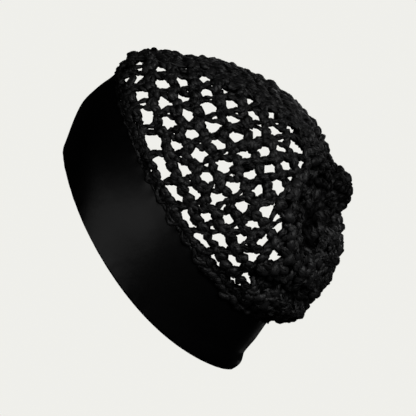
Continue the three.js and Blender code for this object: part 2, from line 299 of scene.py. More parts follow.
# How much deeper the puffs lie along the mid-plane over the nape, round which ring, and over which angle
# in radians and how many rings.
NAPE_SINK = 2.4
NAPE_AT = 2.0
NAPE_ANGLE = 0.5
NAPE_RINGS = 1.1
# How thick a puff's ends are, and how many points its line has.
LUMP_TIP = 0.3
LUMP_STEPS = 9

# The knob's rings of lumps, how far it is seated on the net, how much deeper its braids lie, how far it
# hangs down, and the half width and the height by which its lumps face outwards.
GatherRing = namedtuple("GatherRing", "radius height lumps size")
GATHER = (
    GatherRing(19.0, -6.6, 11, 1.36),
    GatherRing(17.0, -0.6, 11, 1.36),
    GatherRing(13.4, 5.2, 9, 1.4),
    GatherRing(7.4, 8.8, 5, 1.4),
)
GATHER_SEAT = 2.1
GATHER_DEPTH = 3.4
GATHER_DROP = 1.2
GATHER_WIDE = 18
GATHER_HIGH = 9
# The knob's lumps are painted darker, as shade, by this share of painted light.
GATHER_PAINTED_LIGHT = 0.42
# The braids under the lumps: their thickness, the length of their stitches and their share of painted light,
# which paints them dark as shade under the lumps. Then how unevenly high the lumps lie, the shares between
# which their sizes lie, and the knot in the middle.
GATHER_GIRTH = 0.9
GATHER_STITCH = 9.0
GATHER_BRAID_PAINTED_LIGHT = 0.2
GATHER_UNEVEN = 0.8
GATHER_SIZES = (0.88, 1.12)
GATHER_HEART = Kind(1.1, 4.0, 0.0, 0.3)
# The length of a bobble, and how far it rises and bends.
BOBBLE = 9.6
BOBBLE_RISE = 1.4
BOBBLE_BEND = 2.2
# The rings of the net that end in bobbles, next to the gather, from the top down to an angle in degrees,
# and how high the bobbles lie. They are sunk at the lowest point, and lie unevenly high.
Neck = namedtuple("Neck", "at down_to height")
NECK = (
    Neck(8.9, 180, -2.4),
    Neck(9.15, 75, -2.0),
    Neck(9.4, 180, -1.0),
    Neck(9.62, 75, -0.8),
    Neck(9.85, 180, -0.6),
    Neck(10.05, 80, -0.6),
    Neck(10.25, 180, -0.6),
    Neck(10.5, 90, -0.6),
)
NECK_PITCH = 9.8
NECK_SINK = 2.4
NECK_UNEVEN = 1.6
NECK_RISE = 1.6
# The bobbles are painted a little darker, as shade, by this share of painted light.
NECK_PAINTED_LIGHT = 0.8
NECK_GIRTHS = (1.2, 1.5)
NECK_LENGTHS = (0.8, 1.2)
# Where a puff lies in its share of the row.
PUFF_PLACES = (0.3, 0.7)

# Puffs that hang over the band's edge beside the nape: the angles in degrees from the top between which
# they hang, their number, length and thickness, where they start and how far down they reach, both in
# rings, and how high they lie.
HANG_FROM = 116
HANG_TO = 150
HANG_COUNT = 9
HANG_LENGTH = 12.5
HANG_FAT = 0.95
HANG_START = 0.03
HANG_DROP = 0.15
HANG_HEIGHT = 2.6
HANG_RISE = 0.6
# The hanging puffs are painted a little darker, as shade, by this share of painted light.
HANG_PAINTED_LIGHT = 0.8
# How many degrees they lean from the way towards the crown, and the shares between which their thickness
# lies.
HANG_LEANS = (65, 115)
HANG_GIRTHS = (0.85, 1.15)

# The heading: how far from the seam its braid lies, and the length of its stitches and the space between
# its knots.
HEADING_STEPS = 289
HEADING_AT = 2.7
HEADING_STITCH = 14.0
HEADING_PITCH = 11.0
HEADING_GIRTH = 0.62
# The heading's yarn is painted darker, as shade, by this share of painted light.
HEADING_PAINTED_LIGHT = 0.6
# Its knots: how far from the seam they lie, their sizes, how high and how flat they are, and their tilt.
HEADING_PLACES = (2.8, 3.8)
HEADING_SIZES = (0.46, 0.6)
HEADING_HEIGHT = 0.5
HEADING_FLAT = 0.8
HEADING_TILT = 0.3
# The thin cord along the seam, and how high it lies on the cloth.
CORD_AT = -0.012
CORD_LIFT = 0.5
CORD_GIRTH = 0.36
CORD_STITCH = 6.0
# Single loops of yarn that hang from the heading over the band, by angle in degrees from the top, and the
# ring that they hang from.
Loop = namedtuple("Loop", "angle width drop")
LOOPS = (
    Loop(66, 12.0, 1.6),
    Loop(75, 14.0, 2.6),
    Loop(84, 13.0, 2.2),
    Loop(93, 16.0, 3.8),
    Loop(103, 12.0, 2.0),
    Loop(112, 16.0, 3.6),
    Loop(122, 12.0, 1.8),
)
LOOP_TOP = 0.08
LOOP_STEPS = 15
LOOP_STITCH = 18.0
# How square a loop hangs, how high it lies over the cord and how much higher at its ends, its thickness at
# its ends and how much more at its foot, and its share of painted light, which paints it a little darker as
# shade.
LOOP_POWER = 1.3
LOOP_LIFT = 0.9
LOOP_CURL = 0.5
LOOP_GIRTH = 0.42
LOOP_PUFF = 0.2
LOOP_PAINTED_LIGHT = 0.7

# The stage, in metres and watts.
VIEW_WIDTH = 0.3411
CAMERA_AT = (0.0303, -1.2, 0.0148)
FLOOR_RADIUS = 0.9
FLOOR_LEVEL = -0.162
FLOOR_SIDES = 96
Light = namedtuple("Light", "name place aim size power")
LIGHTS = (
    Light("key", (-0.72, -1.1, 0.09), (-0.28, 0.1, 0.0), (1.8, 0.45), 1.28),
    Light("top", (0.62, -1.0, 0.48), (0.05, 0.0, 0.03), (0.5, 0.5), 2.6),
    Light("far", (0.6, 1.0, 0.42), (0.05, 0.0, 0.03), (0.9, 0.9), 2.0),
    Light("nape", (0.62, 1.05, -0.45), (0.06, 0.0, -0.09), (0.16, 0.16), 0.022),
    Light("side", (1.1, -0.75, 0.2), (0.1, 0.0, 0.0), (0.4, 0.4), 1.5),
)


def length(name, description, millimetres):
    return bpy.props.FloatProperty(
        name=name, description=description, default=millimetres * MM, unit="LENGTH"
    )


def tone(name, description, default):
    return bpy.props.FloatVectorProperty(
        name=name, description=description, default=default, subtype="COLOR", min=0.0, max=1.0
    )


class BonnetSizes(bpy.types.PropertyGroup):
    """Sizes of the cloth and the yarn."""

    band_wall: length("Band wall", "Thickness of the band's two layers of satin and elastic", 2.2)
    rim_fold: length("Rim fold", "Thickness of the soft fold along the rim", 3.0)
    thread: length("Satin thread", "Distance between two threads of the satin", 0.28)
    yarn: length("Yarn radius", "Radius of the ribbon yarn where it puffs out", 2.75)
    strand_width: length("Strand width", "How far the plies of a strand swing to each side", 1.75)
    strand_depth: length("Strand depth", "How far the plies of a strand swing in and out", 1.2)
    stitch: length("Stitch length", "Length of one chain stitch", 16.0)
    knot: length("Knot radius", "Radius of the yarn's path round a knot", 1.65)


class BonnetColours(bpy.types.PropertyGroup):
    """Colours of the cloth, the yarn and the backdrop."""

    satin: tone("Satin", "Colour of the band", (0.0008, 0.0008, 0.0009))
    yarn: tone("Ribbon yarn", "Colour of the net", (0.012, 0.012, 0.0123))
    backdrop: tone("Backdrop", "Colour behind the bonnet", (0.866, 0.864, 0.829))


class Value:
    """A node's output. Arithmetic on it adds the Math nodes that work it out."""

    def __init__(self, graph, socket):
        self.graph = graph
        self.socket = socket

    def math(self, operation, *values):
        return self.graph.add("ShaderNodeMath", {"operation": operation}, dict(enumerate(values)))[0]

    def __add__(self, other):
        return self.math("ADD", self, other)

    def __radd__(self, other):
        return self.math("ADD", other, self)

    def __sub__(self, other):
        return self.math("SUBTRACT", self, other)

    def __rsub__(self, other):
        return self.math("SUBTRACT", other, self)

    def __mul__(self, other):
        return self.math("MULTIPLY", self, other)

    def __rmul__(self, other):
        return self.math("MULTIPLY", other, self)

    def sin(self):
        return self.math("SINE", self)

    def cos(self):
        return self.math("COSINE", self)

    def bare(self):
        return self.math("ABSOLUTE", self)

    def sign(self):
        return self.math("SIGN", self)

    def limited(self):
        return self.math("MINIMUM", self.math("MAXIMUM", self, 0.0), 1.0)

    def between(self, low, high):
        return self * (high - low) + low


class Made:
    """A node that was added, with its outputs by name or number."""

    def __init__(self, graph, node):
        self.graph = graph
        self.node = node

    def __getitem__(self, key):
        return Value(self.graph, self.node.outputs[key])


class Graph:
    """Adds nodes to a tree."""

    def __init__(self, tree):
        self.tree = tree

    def add(self, kind, settings=None, sockets=None):
        """A node of this type, with its settings and then the values or links of its sockets."""
        node = self.tree.nodes.new(kind)
        for name, value in (settings or {}).items():
            setattr(node, name, value)
        for key, value in (sockets or {}).items():
            self.plug(node.inputs[key], value)
        return Made(self, node)

    def plug(self, socket, value):
        if isinstance(value, list):
            for one in value:
                self.plug(socket, one)
        elif isinstance(value, Value):
            self.tree.links.new(value.socket, socket)
        else:
            socket.default_value = value

    def vector(self, operation, *values, scale=None):
        sockets = dict(enumerate(values))
        if scale is not None:
            sockets["Scale"] = scale
        return self.add("ShaderNodeVectorMath", {"operation": operation}, sockets)[0]

    def pack(self, x=0.0, y=0.0, z=0.0):
        return self.add("ShaderNodeCombineXYZ", None, {"X": x, "Y": y, "Z": z})[0]

    def unpack(self, vector):
        return self.add("ShaderNodeSeparateXYZ", None, {"Vector": vector})

    def tint(self, factor, low, high):
        """A colour between two colours."""
        settings = {"data_type": "RGBA", "blend_type": "MIX"}
        return self.add("ShaderNodeMix", settings, {0: factor, 6: low, 7: high})[2]

    def noise(self, place, scale, detail=2.0, roughness=0.5, output="Fac"):
        sockets = {"Vector": place, "Scale": scale, "Detail": detail, "Roughness": roughness}
        return self.add("ShaderNodeTexNoise", {"noise_dimensions": "3D"}, sockets)[output]

    def kept(self, name, output="Fac"):
        """What the piece's mesh keeps under this name."""
        return self.add("ShaderNodeAttribute", {"attribute_name": name})[output]

    def bump(self, height, distance, strength, under=None):
        """The normal of a height, on top of another normal where one is given."""
        sockets = {"Strength": strength, "Distance": distance, "Height": height}
        if under is not None:
            sockets["Normal"] = under
        return self.add("ShaderNodeBump", None, sockets)["Normal"]

    def gloss(self, base, roughness, specular, normal):
        names = ("Base Color", "Roughness", "Specular IOR Level", "Normal")
        sockets = dict(zip(names, (base, roughness, specular, normal)))
        return self.add("ShaderNodeBsdfPrincipled", None, sockets)[0]


def linked(name, data):
    made = bpy.data.objects.new(name, data)
    bpy.context.scene.collection.objects.link(made)
    return made


# The surface of the bonnet


def curve_at(rows, at):
    """The columns of a table at any place between its rows, on a smooth curve through them."""
    table = np.array(rows)
    places = table[:, 0]
    last = len(places) - 1
    at = np.asarray(at, float)
    i = np.searchsorted(places[1:-1], at, side="left")
    before = np.maximum(i - 1, 0)
    after = np.minimum(i + 2, last)
    span = (places[i + 1] - places[i])[..., None]
    t = (at - places[i])[..., None] / span
    start = table[i]
    end = table[i + 1]
    rise = end - start
    leave = span * (end - table[before]) / (places[i + 1] - places[before])[..., None]
    arrive = span * (table[after] - start) / (places[after] - places[i])[..., None]
    bend = t * (1 - t) * ((leave - rise) * (1 - t) - (arrive - rise) * t)
    return np.moveaxis(start + rise * t + bend, -1, 0)


def line_at(rows, at):
    """The columns of a table at a place between its rows, on straight lines from row to row."""
    table = np.array(rows, float)
    return [float(np.interp(at, table[:, 0], column)) for column in table.T]


def bow_shape(angle):
    def lift(square):
        return (square + BOW_ROUNDING**2) ** (BOW_POWER / 2)

    return (lift(np.sin(angle) ** 2) - lift(0.0)) / (lift(1.0) - lift(0.0))


def surface(at, angle):
    """Points of the middle surface, in millimetres."""
    at, angle = np.broadcast_arrays(np.asarray(at, float), np.asarray(angle, float))
    ring = Ring(*curve_at(RINGS, at))
    arm_x = (ring.top_x - ring.low_x) / 2
    arm_z = (ring.top_z - ring.low_z) / 2
    depth = ring.bow * bow_shape(angle) * (1 - ring.lean * np.cos(angle))
    bow = depth / np.hypot(arm_x, arm_z)
    x = (ring.top_x + ring.low_x) / 2 + arm_x * np.cos(angle) - arm_z * bow
    y = -ring.half * np.sin(angle)
    z = (ring.top_z + ring.low_z) / 2 + arm_z * np.cos(angle) + arm_x * bow
    return np.stack([x, y, z], axis=-1)


def unit(vectors):
    return vectors / np.linalg.norm(vectors, axis=-1, keepdims=True)


def directions(at, angle):
    """The directions along the surface towards the crown and outwards through it."""
    at = np.asarray(at, float)
    angle = np.asarray(angle, float)
    along = unit(surface(at + SLOPE_STEP, angle) - surface(at - SLOPE_STEP, angle))
    around = unit(surface(at, angle + SLOPE_STEP) - surface(at, angle - SLOPE_STEP))
    return along, unit(np.cross(around, along))


def crease_height(points):
    height = np.zeros(points.shape[:-1])
    for crease in CREASES:
        start = np.array([crease.from_x, crease.from_z])
        line = np.array([crease.to_x, crease.to_z]) - start
        place = points[..., [0, 2]] - start
        share = np.clip(place @ line / (line @ line), 0, 1)
        distance = np.linalg.norm(place - share[..., None] * line, axis=-1)
        height += crease.height * np.exp(-((distance / crease.width) ** 2))
    return height


def painted_crease_light(at, angle):
    """Painted light and shade of the yarn: a share that paints it darker in a crease and lighter on a fold.
    """
    return np.clip(1 + crease_height(surface(at, angle)) / CREASE_SHADE, LEAST_PAINTED_LIGHT, MOST_PAINTED_LIGHT)


def over(at, angle, height):
    """Points at some height over the middle surface."""
    return surface(at, angle) + directions(at, angle)[1] * np.asarray(height, float)[..., None]


def over_net(at, angle, height):
    """Points at some height over the net with its folds and creases."""
    return over(at, angle, height + crease_height(surface(at, angle)))


def strides(points):
    """The distances from each point of a line to the next."""
    return np.linalg.norm(np.diff(points, axis=0), axis=1)


def walked(points):
    """How far along a line each of its points lies."""
    return np.concatenate([[0], np.cumsum(strides(points))])


def place_from_seam(angle, distance):
    """The ring that lies this far from the seam, measured along the surface towards the crown."""
    steps = np.linspace(0.0, 1.0, 101)
    return float(np.interp(distance, walked(surface(steps, float(angle))), steps))


def per_turn(at, angle):
    """Millimetres round the head for each radian."""
    return float(np.linalg.norm(surface(at, angle + SLOPE_STEP) - surface(at, angle)) / SLOPE_STEP)


def folded(angle):
    """The angle from the top, alike on both sides."""
    return math.acos(math.cos(angle))


def side_of(angle):
    return 1.0 if math.sin(angle) >= 0 else -1.0


def chance(*key):
    """A number from 0 to 1 that is always the same for the same key."""
    weights = (12.9898, 78.233, 37.719, 94.673)
    mixed = math.sin(sum(part * weight for part, weight in zip(key, weights))) * 43758.5453
    return mixed - math.floor(mixed)


def swing(*key):
    """A number from -1 to 1 that is always the same for the same key."""
    return 2 * chance(*key) - 1


def pick(low, high, *key):
    """A number between two others that is always the same for the same key."""
    return low + (high - low) * chance(*key)


def tilted(out, amount, key, first):
    """A direction that is tilted a little to any side. It uses the key with three numbers from the first."""
    return unit(out + amount * np.array([swing(*key, first + i) for i in range(3)]))


def mirrored_key(at, angle, *more):
    """A key for chance that is alike on both sides."""
    return (round(at * 100), round(folded(angle) * 500), *more)


# The lattice of the net


class Knot:
    """A place of the net where posts end, as heads, and where posts start, as feet."""

    def __init__(self, at, angle, heads=(), feet=()):
        self.at = at
        self.angle = angle
        self.heads = list(heads)
        self.feet = list(feet)

    def drift(self):
        """Moves the knot a little from its even place, alike on both sides."""
        key = mirrored_key(self.at, self.angle)
        side = float(np.sign(round(math.sin(self.angle), 3)))
        reach = KNOT_DRIFT / per_turn(self.at, self.angle)
        self.angle += side * reach * swing(*key, 1)
        self.at += RING_DRIFT * swing(*key, 2)


def post_angles(item):
    """The posts between a round's meshes, in order round the head and alike on both sides."""
    pitch = TURN / item.meshes
    meet = MIDDLE_MEET * pitch
    spare = MIDDLE_SPARE * pitch
    spots = [(item.first - 0.5 + i) * pitch for i in range(item.meshes)]
    near = [angle for angle in spots if meet <= angle <= math.pi - meet]
    at_top = near[0] > spare or any(abs(angle) < meet for angle in spots)
    at_low = math.pi - near[-1] > spare or any(abs(angle - math.pi) < meet for angle in spots)
    far = [TURN - angle for angle in reversed(near)]
    return [0.0] * at_top + near + [math.pi] * at_low + far


def knot_line(at, below, above):
    """The knots between two rounds: those that end a post below, start one above, or do both."""
    knots = [Knot(at - POST_PULL, angle, heads=[i]) for i, angle in enumerate(below)]
    reach = POST_MEET * TURN / len(above)
    for i, angle in enumerate(above):
        free = (knot for knot in knots if not knot.feet and folded(knot.angle - angle) < reach)
        meeting = next(free, None)
        if meeting:
            meeting.at = at
            meeting.feet.append(i)
        else:
            knots.append(Knot(at + POST_PULL, angle, feet=[i]))
    return sorted(knots, key=lambda knot: knot.angle)


def net_start(angle):
    """The ring on which the first meshes start."""
    away = (math.degrees(folded(angle)) - START_RISE_AT) / START_RISE_WIDTH
    return place_from_seam(angle, NET_START + START_RISE * math.exp(-(away**2)))


def lattice():
    """The posts of each round and the lines of knots before, between and after the rounds."""
    posts = [post_angles(item) for item in ROUNDS]
    between = [
        knot_line((below.at + above.at) / 2, here, there)
        for below, above, here, there in zip(ROUNDS, ROUNDS[1:], posts, posts[1:])
    ]
    for line in between:
        for knot in line:
            knot.drift()
    first = [Knot(net_start(angle), angle, feet=[i]) for i, angle in enumerate(posts[0])]
    last = [Knot(NET_END, angle, heads=[i]) for i, angle in enumerate(posts[-1])]
    return posts, [first, *between, last]


def open_range(at):
    """The angles from the top between which the meshes stand open, in radians."""
    item = Round(*line_at(ROUNDS, at))
    return math.radians(item.open_from), math.radians(item.open_to)


def girth_at(at):
    """How thick the strands are at a ring, as a share of the full size."""
    return Girth(*line_at(GIRTHS, at)).share


# Guides: the points and lines that the crochet tree dresses

# A spot's open is its share of painted light: the finish paints the yarn darker there below 1, as shade, and
# lighter above 1.
Spot = namedtuple("Spot", "point out phase fat braid knot open")


class Guide:
    """Points and edges, with what the crochet tree reads at each point."""

    def __init__(self):
        self.spots = []
        self.edges = []

    def strand(self, points, outs, fat, braid, stitch, phase, bare=1.0):
        """A strand along a line. A braid is 1 where it lies flat and 0 where it is a round rope. Bare is the
        yarn's share of painted light.
        """
        start = len(self.spots)
        phases = phase + TURN * walked(points) / stitch
        fats = np.broadcast_to(fat, len(points))
        painted_light_shares = np.broadcast_to(bare, len(points))
        for point, out, turn, girth, painted_light_share in zip(points, outs, phases, fats, painted_light_shares):
            self.spots.append(Spot(point, out, turn, girth, braid, False, painted_light_share))
        self.edges.extend((start + i, start + i + 1) for i in range(len(points) - 1))

    def knot(self, point, out, size, spin, flat=0.0, bare=1.0):
        """A knot, round or drawn out flat. Bare is the yarn's share of painted light."""
        self.spots.append(Spot(point, out, spin, size, flat, True, bare))

    def make(self, name):
        """The guide as an object, with an attribute of its mesh for each column after the point."""
        columns = dict(zip(Spot._fields, zip(*self.spots)))
        mesh = bpy.data.meshes.new(name)
        mesh.from_pydata((np.array(columns.pop("point")) * MM).tolist(), self.edges, [])
        kinds = {"out": ("FLOAT_VECTOR", "vector", float), "knot": ("BOOLEAN", "value", bool)}
        for layer, values in columns.items():
            kind, slot, number = kinds.get(layer, ("FLOAT", "value", float))
            made = mesh.attributes.new(layer, kind, "POINT")
            made.data.foreach_set(slot, np.array(values, number).ravel())
        return linked(name, mesh)


def strand_between(guide, start, end, braid, sizes, share_of=1.0):
    """A strand of yarn from one knot to another, given as (ring, angle), that sways a little."""
    (at0, angle0), (at1, angle1) = start, end
    angle1 -= TURN * round((angle1 - angle0) / TURN)
    ring = (at0 + at1) / 2
    middle = (angle0 + angle1) / 2
    side = side_of(middle)
    if side < 0:
        at0, angle0, at1, angle1 = at1, angle1, at0, angle0
    key = mirrored_key(ring, middle)
    share = np.linspace(0, 1, STRAND_STEPS)
    arch = 4 * share * (1 - share)
    reach = STRAND_SWAY * side / per_turn(ring, middle)
    at = at0 + (at1 - at0) * share + arch * RING_SWAY * swing(*key, 1)
    angle = angle0 + (angle1 - angle0) * share + arch * reach * swing(*key, 2)
    height = arch * LIFT_SWAY * swing(*key, 3)
    if folded(middle) < open_range(ring)[0]:
        height = height - RIDGE_SINK
    outs = directions(at, angle)[1]
    fat = share_of * girth_at(ring) * pick(*STRAND_GIRTHS, *key, 4)
    phase = TURN * chance(*key, 5)
    stitch = sizes.stitch / MM
    # The strand's yarn is painted darker in a crease, as shade, and lighter on a fold.
    guide.strand(over_net(at, angle, height), outs, fat, braid, stitch, phase, painted_crease_light(at, angle))


def knot_on_net(guide, at, angle, kind, seed, share=1.0):
    """A knot of some kind, a little tilted."""
    key = mirrored_key(at, angle, seed)
    point = over_net(at, angle, kind.height)
    out = tilted(directions(at, angle)[1], KNOT_TILT, key, 1)
    size = share * kind.size * pick(*KNOT_SIZES, *key, 4)
    # The knot's share of painted light: its kind's share, painted darker in a crease as shade.
    bare = kind.bare * float(painted_crease_light(at, angle))
    guide.knot(point, out, size, TURN * chance(*key, 5), kind.flat, bare)


class CrochetTree(Graph):
    """Dresses lines with strands of yarn and points with knots."""

    def __init__(self, name, plies):
        super().__init__(bpy.data.node_groups.new(name, "GeometryNodeTree"))
        self.open_sockets()
        self.given = self.add("NodeGroupInput")
        self.place = self.add("GeometryNodeInputPosition")[0]
        where = self.unpack(self.place)
        self.alike = self.pack(where["X"], where["Y"].bare(), where["Z"])
        self.out = self.read("out", "FLOAT_VECTOR")
        self.fat = self.read("fat")
        self.braid = self.read("braid")
        self.phase = self.read("phase")
        sockets = {"Geometry": self.given["Geometry"], "Selection": self.read("knot", "BOOLEAN")}
        parts = self.add("GeometryNodeSeparateGeometry", {"domain": "POINT"}, sockets)
        yarn = [*self.strands(parts["Inverted"], plies), self.knots(parts["Selection"])]
        whole = self.shape("JoinGeometry", {"Geometry": yarn})
        whole = self.shape("SetShadeSmooth", {"Geometry": whole})
        whole = self.shape("RealizeInstances", {"Geometry": whole})
        whole = self.moved(whole, self.stray(NET_STRAY, 9.0))
        whole = self.shape("SetMaterial", {"Geometry": whole, "Material": self.given["Material"]})
        self.add("NodeGroupOutput", None, {"Geometry": whole})

    def open_sockets(self):
        """Names the sizes and other inputs of the tree."""
        face = self.tree.interface
        face.new_socket("Geometry", in_out="OUTPUT", socket_type="NodeSocketGeometry")
        face.new_socket("Geometry", in_out="INPUT", socket_type="NodeSocketGeometry")
        for name in ("Yarn radius", "Swing", "Depth", "Knot radius", "Step"):
            item = face.new_socket(name, in_out="INPUT", socket_type="NodeSocketFloat")
            item.subtype = "DISTANCE"
            item.default_value = MM
        for name, default in (("Sides", 6), ("Seed", 7)):
            item = face.new_socket(name, in_out="INPUT", socket_type="NodeSocketInt")
            item.default_value = default
        face.new_socket("Material", in_out="INPUT", socket_type="NodeSocketMaterial")

    def shape(self, kind, sockets, settings=None, output="Geometry"):
        return self.add(f"GeometryNode{kind}", settings, sockets)[output]

    def read(self, name, kind="FLOAT"):
        return self.add("GeometryNodeInputNamedAttribute", {"data_type": kind}, {"Name": name})[0]

    def store(self, geometry, name, kind, value):
        sockets = {"Geometry": geometry, "Name": name, "Value": value}
        return self.shape("StoreNamedAttribute", sockets, {"data_type": kind, "domain": "POINT"})

    def moved(self, geometry, offset):
        return self.shape("SetPosition", {"Geometry": geometry, "Offset": offset})

    def circle(self, steps, radius):
        sockets = {"Resolution": steps, "Radius": radius}
        return self.shape("CurvePrimitiveCircle", sockets, {"mode": "RADIUS"}, "Curve")

    def outline(self, sides):
        """The yarn's section, with the direction of each of its points kept for the finish."""
        section = self.circle(sides, self.given["Yarn radius"])
        return self.store(section, "round", "FLOAT_VECTOR", self.vector("NORMALIZE", self.place))

    def tube(self, curve, section, scale, puff):
        """The yarn round a path, with how far it puffs out at each point kept for the finish, which paints
        the pinches darker as shade.
        """
        curve = self.store(curve, "along", "FLOAT", self.add("GeometryNodeSplineParameter")["Length"])
        curve = self.store(curve, "puff", "FLOAT", puff)
        sockets = {"Curve": curve, "Profile Curve": section, "Scale": scale, "Fill Caps": True}
        return self.shape("CurveToMesh", sockets, output="Mesh")

    def cloud(self, frequency, shift, output="Fac"):
        """A soft noise in space, alike on both sides."""
        spot = self.vector("ADD", self.vector("SCALE", self.alike, scale=frequency), shift)
        return self.noise(spot, 1.0, 1.0, output=output)

    def uneven(self):
        """A swelling and thinning of the yarn along its way."""
        cloud = self.cloud(SWELL.often, self.pack(self.given["Seed"]))
        return 1.0 + (cloud - 0.5) * (2 * SWELL.amount)

    def stray(self, wander, shift):
        """A small wandering of the yarn from its path."""
        cloud = self.cloud(wander.often, (shift, 0.0, 0.0), "Color")
        centred = self.vector("SUBTRACT", cloud, (0.5, 0.5, 0.5))
        return self.vector("SCALE", centred, scale=2 * wander.amount)

    def strands(self, edges, plies):
        """The plies of each strand: wound round each other in a rope, side by side in a braid."""
        lines = self.shape("MeshToCurve", {"Mesh": edges}, output="Curve")
        sockets = {"Curve": lines, "Length": self.given["Step"]}
        lines = self.shape("ResampleCurve", sockets, {"mode": "LENGTH"}, "Curve")
        out = self.vector("NORMALIZE", self.out)
        tangent = self.add("GeometryNodeInputTangent")[0]
        side = self.vector("NORMALIZE", self.vector("CROSS_PRODUCT", tangent, out))
        section = self.outline(self.given["Sides"])
        made = []
        for ply in range(plies):
            phase = self.phase + TURN * ply / plies
            puff = (phase + 0.5 * ply).sin().bare()
            path = lines
            if plies > 1:
                path = self.moved(lines, self.wound(phase, side, out, stray_from=3.0 * ply))
            scale = self.fat * puff.between(*PLY_GIRTHS) * self.uneven()
            made.append(self.tube(path, section, scale, puff))
        return made

    def wound(self, phase, side, out, stray_from):
        """How far a ply lies from the middle of its strand."""
        rope = phase.cos() * self.given["Swing"] * ROPE_DEPTH
        flat = (phase * 2.0).sin() * self.given["Depth"]
        depth = (rope * (1.0 - self.braid) + flat * self.braid) * self.fat
        across = self.vector("SCALE", side, scale=phase.sin() * self.given["Swing"] * self.fat)
        offset = self.vector("ADD", across, self.vector("SCALE", out, scale=depth))
        return self.vector("ADD", offset, self.stray(PLY_STRAY, stray_from))

    def knots(self, points):
        """A clover of yarn at each point, turned outwards and drawn out flat where the point says so."""
        turn = self.add("GeometryNodeInputIndex")[0] * (TURN / KNOT_STEPS)
        radius = self.given["Knot radius"]
        clover = (turn * KNOT_LOBES).cos() * LOBE_REACH
        reach = radius * (1.0 + clover)
        rise = radius * (turn * KNOT_LOBES).sin() * LOBE_RISE
        path = self.pack(reach * (turn * KNOT_TURNS).cos(), reach * (turn * KNOT_TURNS).sin(), rise)
        ring = self.shape("SetPosition", {"Geometry": self.circle(KNOT_STEPS, MM), "Position": path})
        lobe = clover + LOBE_REACH
        knot = self.tube(ring, self.outline(KNOT_SIDES), lobe.between(*LOBE_GIRTHS), lobe)
        facing = self.add("FunctionNodeAlignRotationToVector", {"axis": "Z"}, {"Vector": self.out})[0]
        sockets = {"Axis": (0, 0, 1), "Angle": self.phase}
        spin = self.add("FunctionNodeAxisAngleToRotation", None, sockets)[0]
        sockets = {"Rotation": facing, "Rotate By": spin}
        turned = self.add("FunctionNodeRotateRotation", {"rotation_space": "LOCAL"}, sockets)[0]
        long = self.fat * (1.0 + self.braid * FLAT_LONGER)
        wide = self.fat * (1.0 - self.braid * FLAT_NARROWER)
        high = self.fat * (1.0 - self.braid * FLAT_LOWER)
        drawn = self.pack(long, wide, high)
        sockets = {"Points": points, "Instance": knot, "Rotation": turned, "Scale": drawn}
        return self.shape("InstanceOnPoints", sockets, output="Instances")


def crochet(guide, name, sizes, plies=2, step=1.5, sides=7, seed=7, depth=1.0):
    """Dresses a guide with the crochet tree and leaves the result as a plain mesh."""
    made = guide.make(name)
    label = f"Crochet with {plies} plies"
    tree = bpy.data.node_groups.get(label) or CrochetTree(label, plies).tree
    dress = made.modifiers.new("Crochet", "NODES")
    dress.node_group = tree
    values = {
        "Yarn radius": sizes.yarn,
        "Swing": sizes.strand_width,
        "Depth": sizes.strand_depth * depth,
        "Knot radius": sizes.knot,
        "Step": step * MM,
        "Sides": sides,
        "Seed": seed,
        "Material": finish_of("black ribbon yarn", black_yarn),
    }
    for item in tree.interface.items_tree:
        if item.in_out == "INPUT" and item.name in values:
            dress[item.identifier] = values[item.name]
    made.update_tag()
    evaluated = made.evaluated_get(bpy.context.evaluated_depsgraph_get())
    mesh = bpy.data.meshes.new_from_object(evaluated)
    made.modifiers.clear()
    made.data = mesh
    mesh.name = name
    if not mesh.polygons:
        raise RuntimeError(f"{name} came out empty")
    return made


# Finishes


def finish_of(name, shader):
    """The material of this name, made when it is first asked for."""
    made = bpy.data.materials.get(name)
    if made is None:
        made = bpy.data.materials.new(name)
        made.use_nodes = True
        made.node_tree.nodes.clear()
        graph = Graph(made.node_tree)
        graph.add("ShaderNodeOutputMaterial", None, {"Surface": shader(graph)})
    return made


def shade(colour, share):
    return (*(part * share for part in colour), 1)


def black_satin(graph):
    """Black satin: long floats of fine thread over a soft, slightly rippled cloth."""
    colour = tuple(bpy.context.scene.bonnet_colours.satin)
    rows = 1.0 / bpy.context.scene.bonnet_sizes.thread
    cloth = graph.unpack(graph.add("ShaderNodeUVMap", {"uv_map": "Cloth"})[0])
    spot = graph.add("ShaderNodeTexCoord")["Object"]
    floats = graph.noise(graph.pack(cloth["X"] * (rows * 0.16), cloth["Y"] * rows), 1.0, 2.0, 0.6)
    threads = (cloth["Y"] * (TURN * rows)).sin() * 0.5 + 0.5
    ripple = graph.noise(spot, 55.0, 3.0, 0.55)
    wear = graph.noise(spot, 18.0, 2.0, 0.5)
    tone_mix = (wear * 0.6 + floats * 0.4).limited()
    base = graph.tint(tone_mix, shade(colour, 0.6), shade(colour, 1.9))
    weave = graph.bump(floats * 0.75 + threads * 0.25, 0.012 * MM, 0.3)
    soft = graph.bump(ripple, 0.5 * MM, 0.5, weave)
    return graph.gloss(base, (wear * 0.12 + floats * 0.1).between(0.22, 1.22), 0.5, soft)


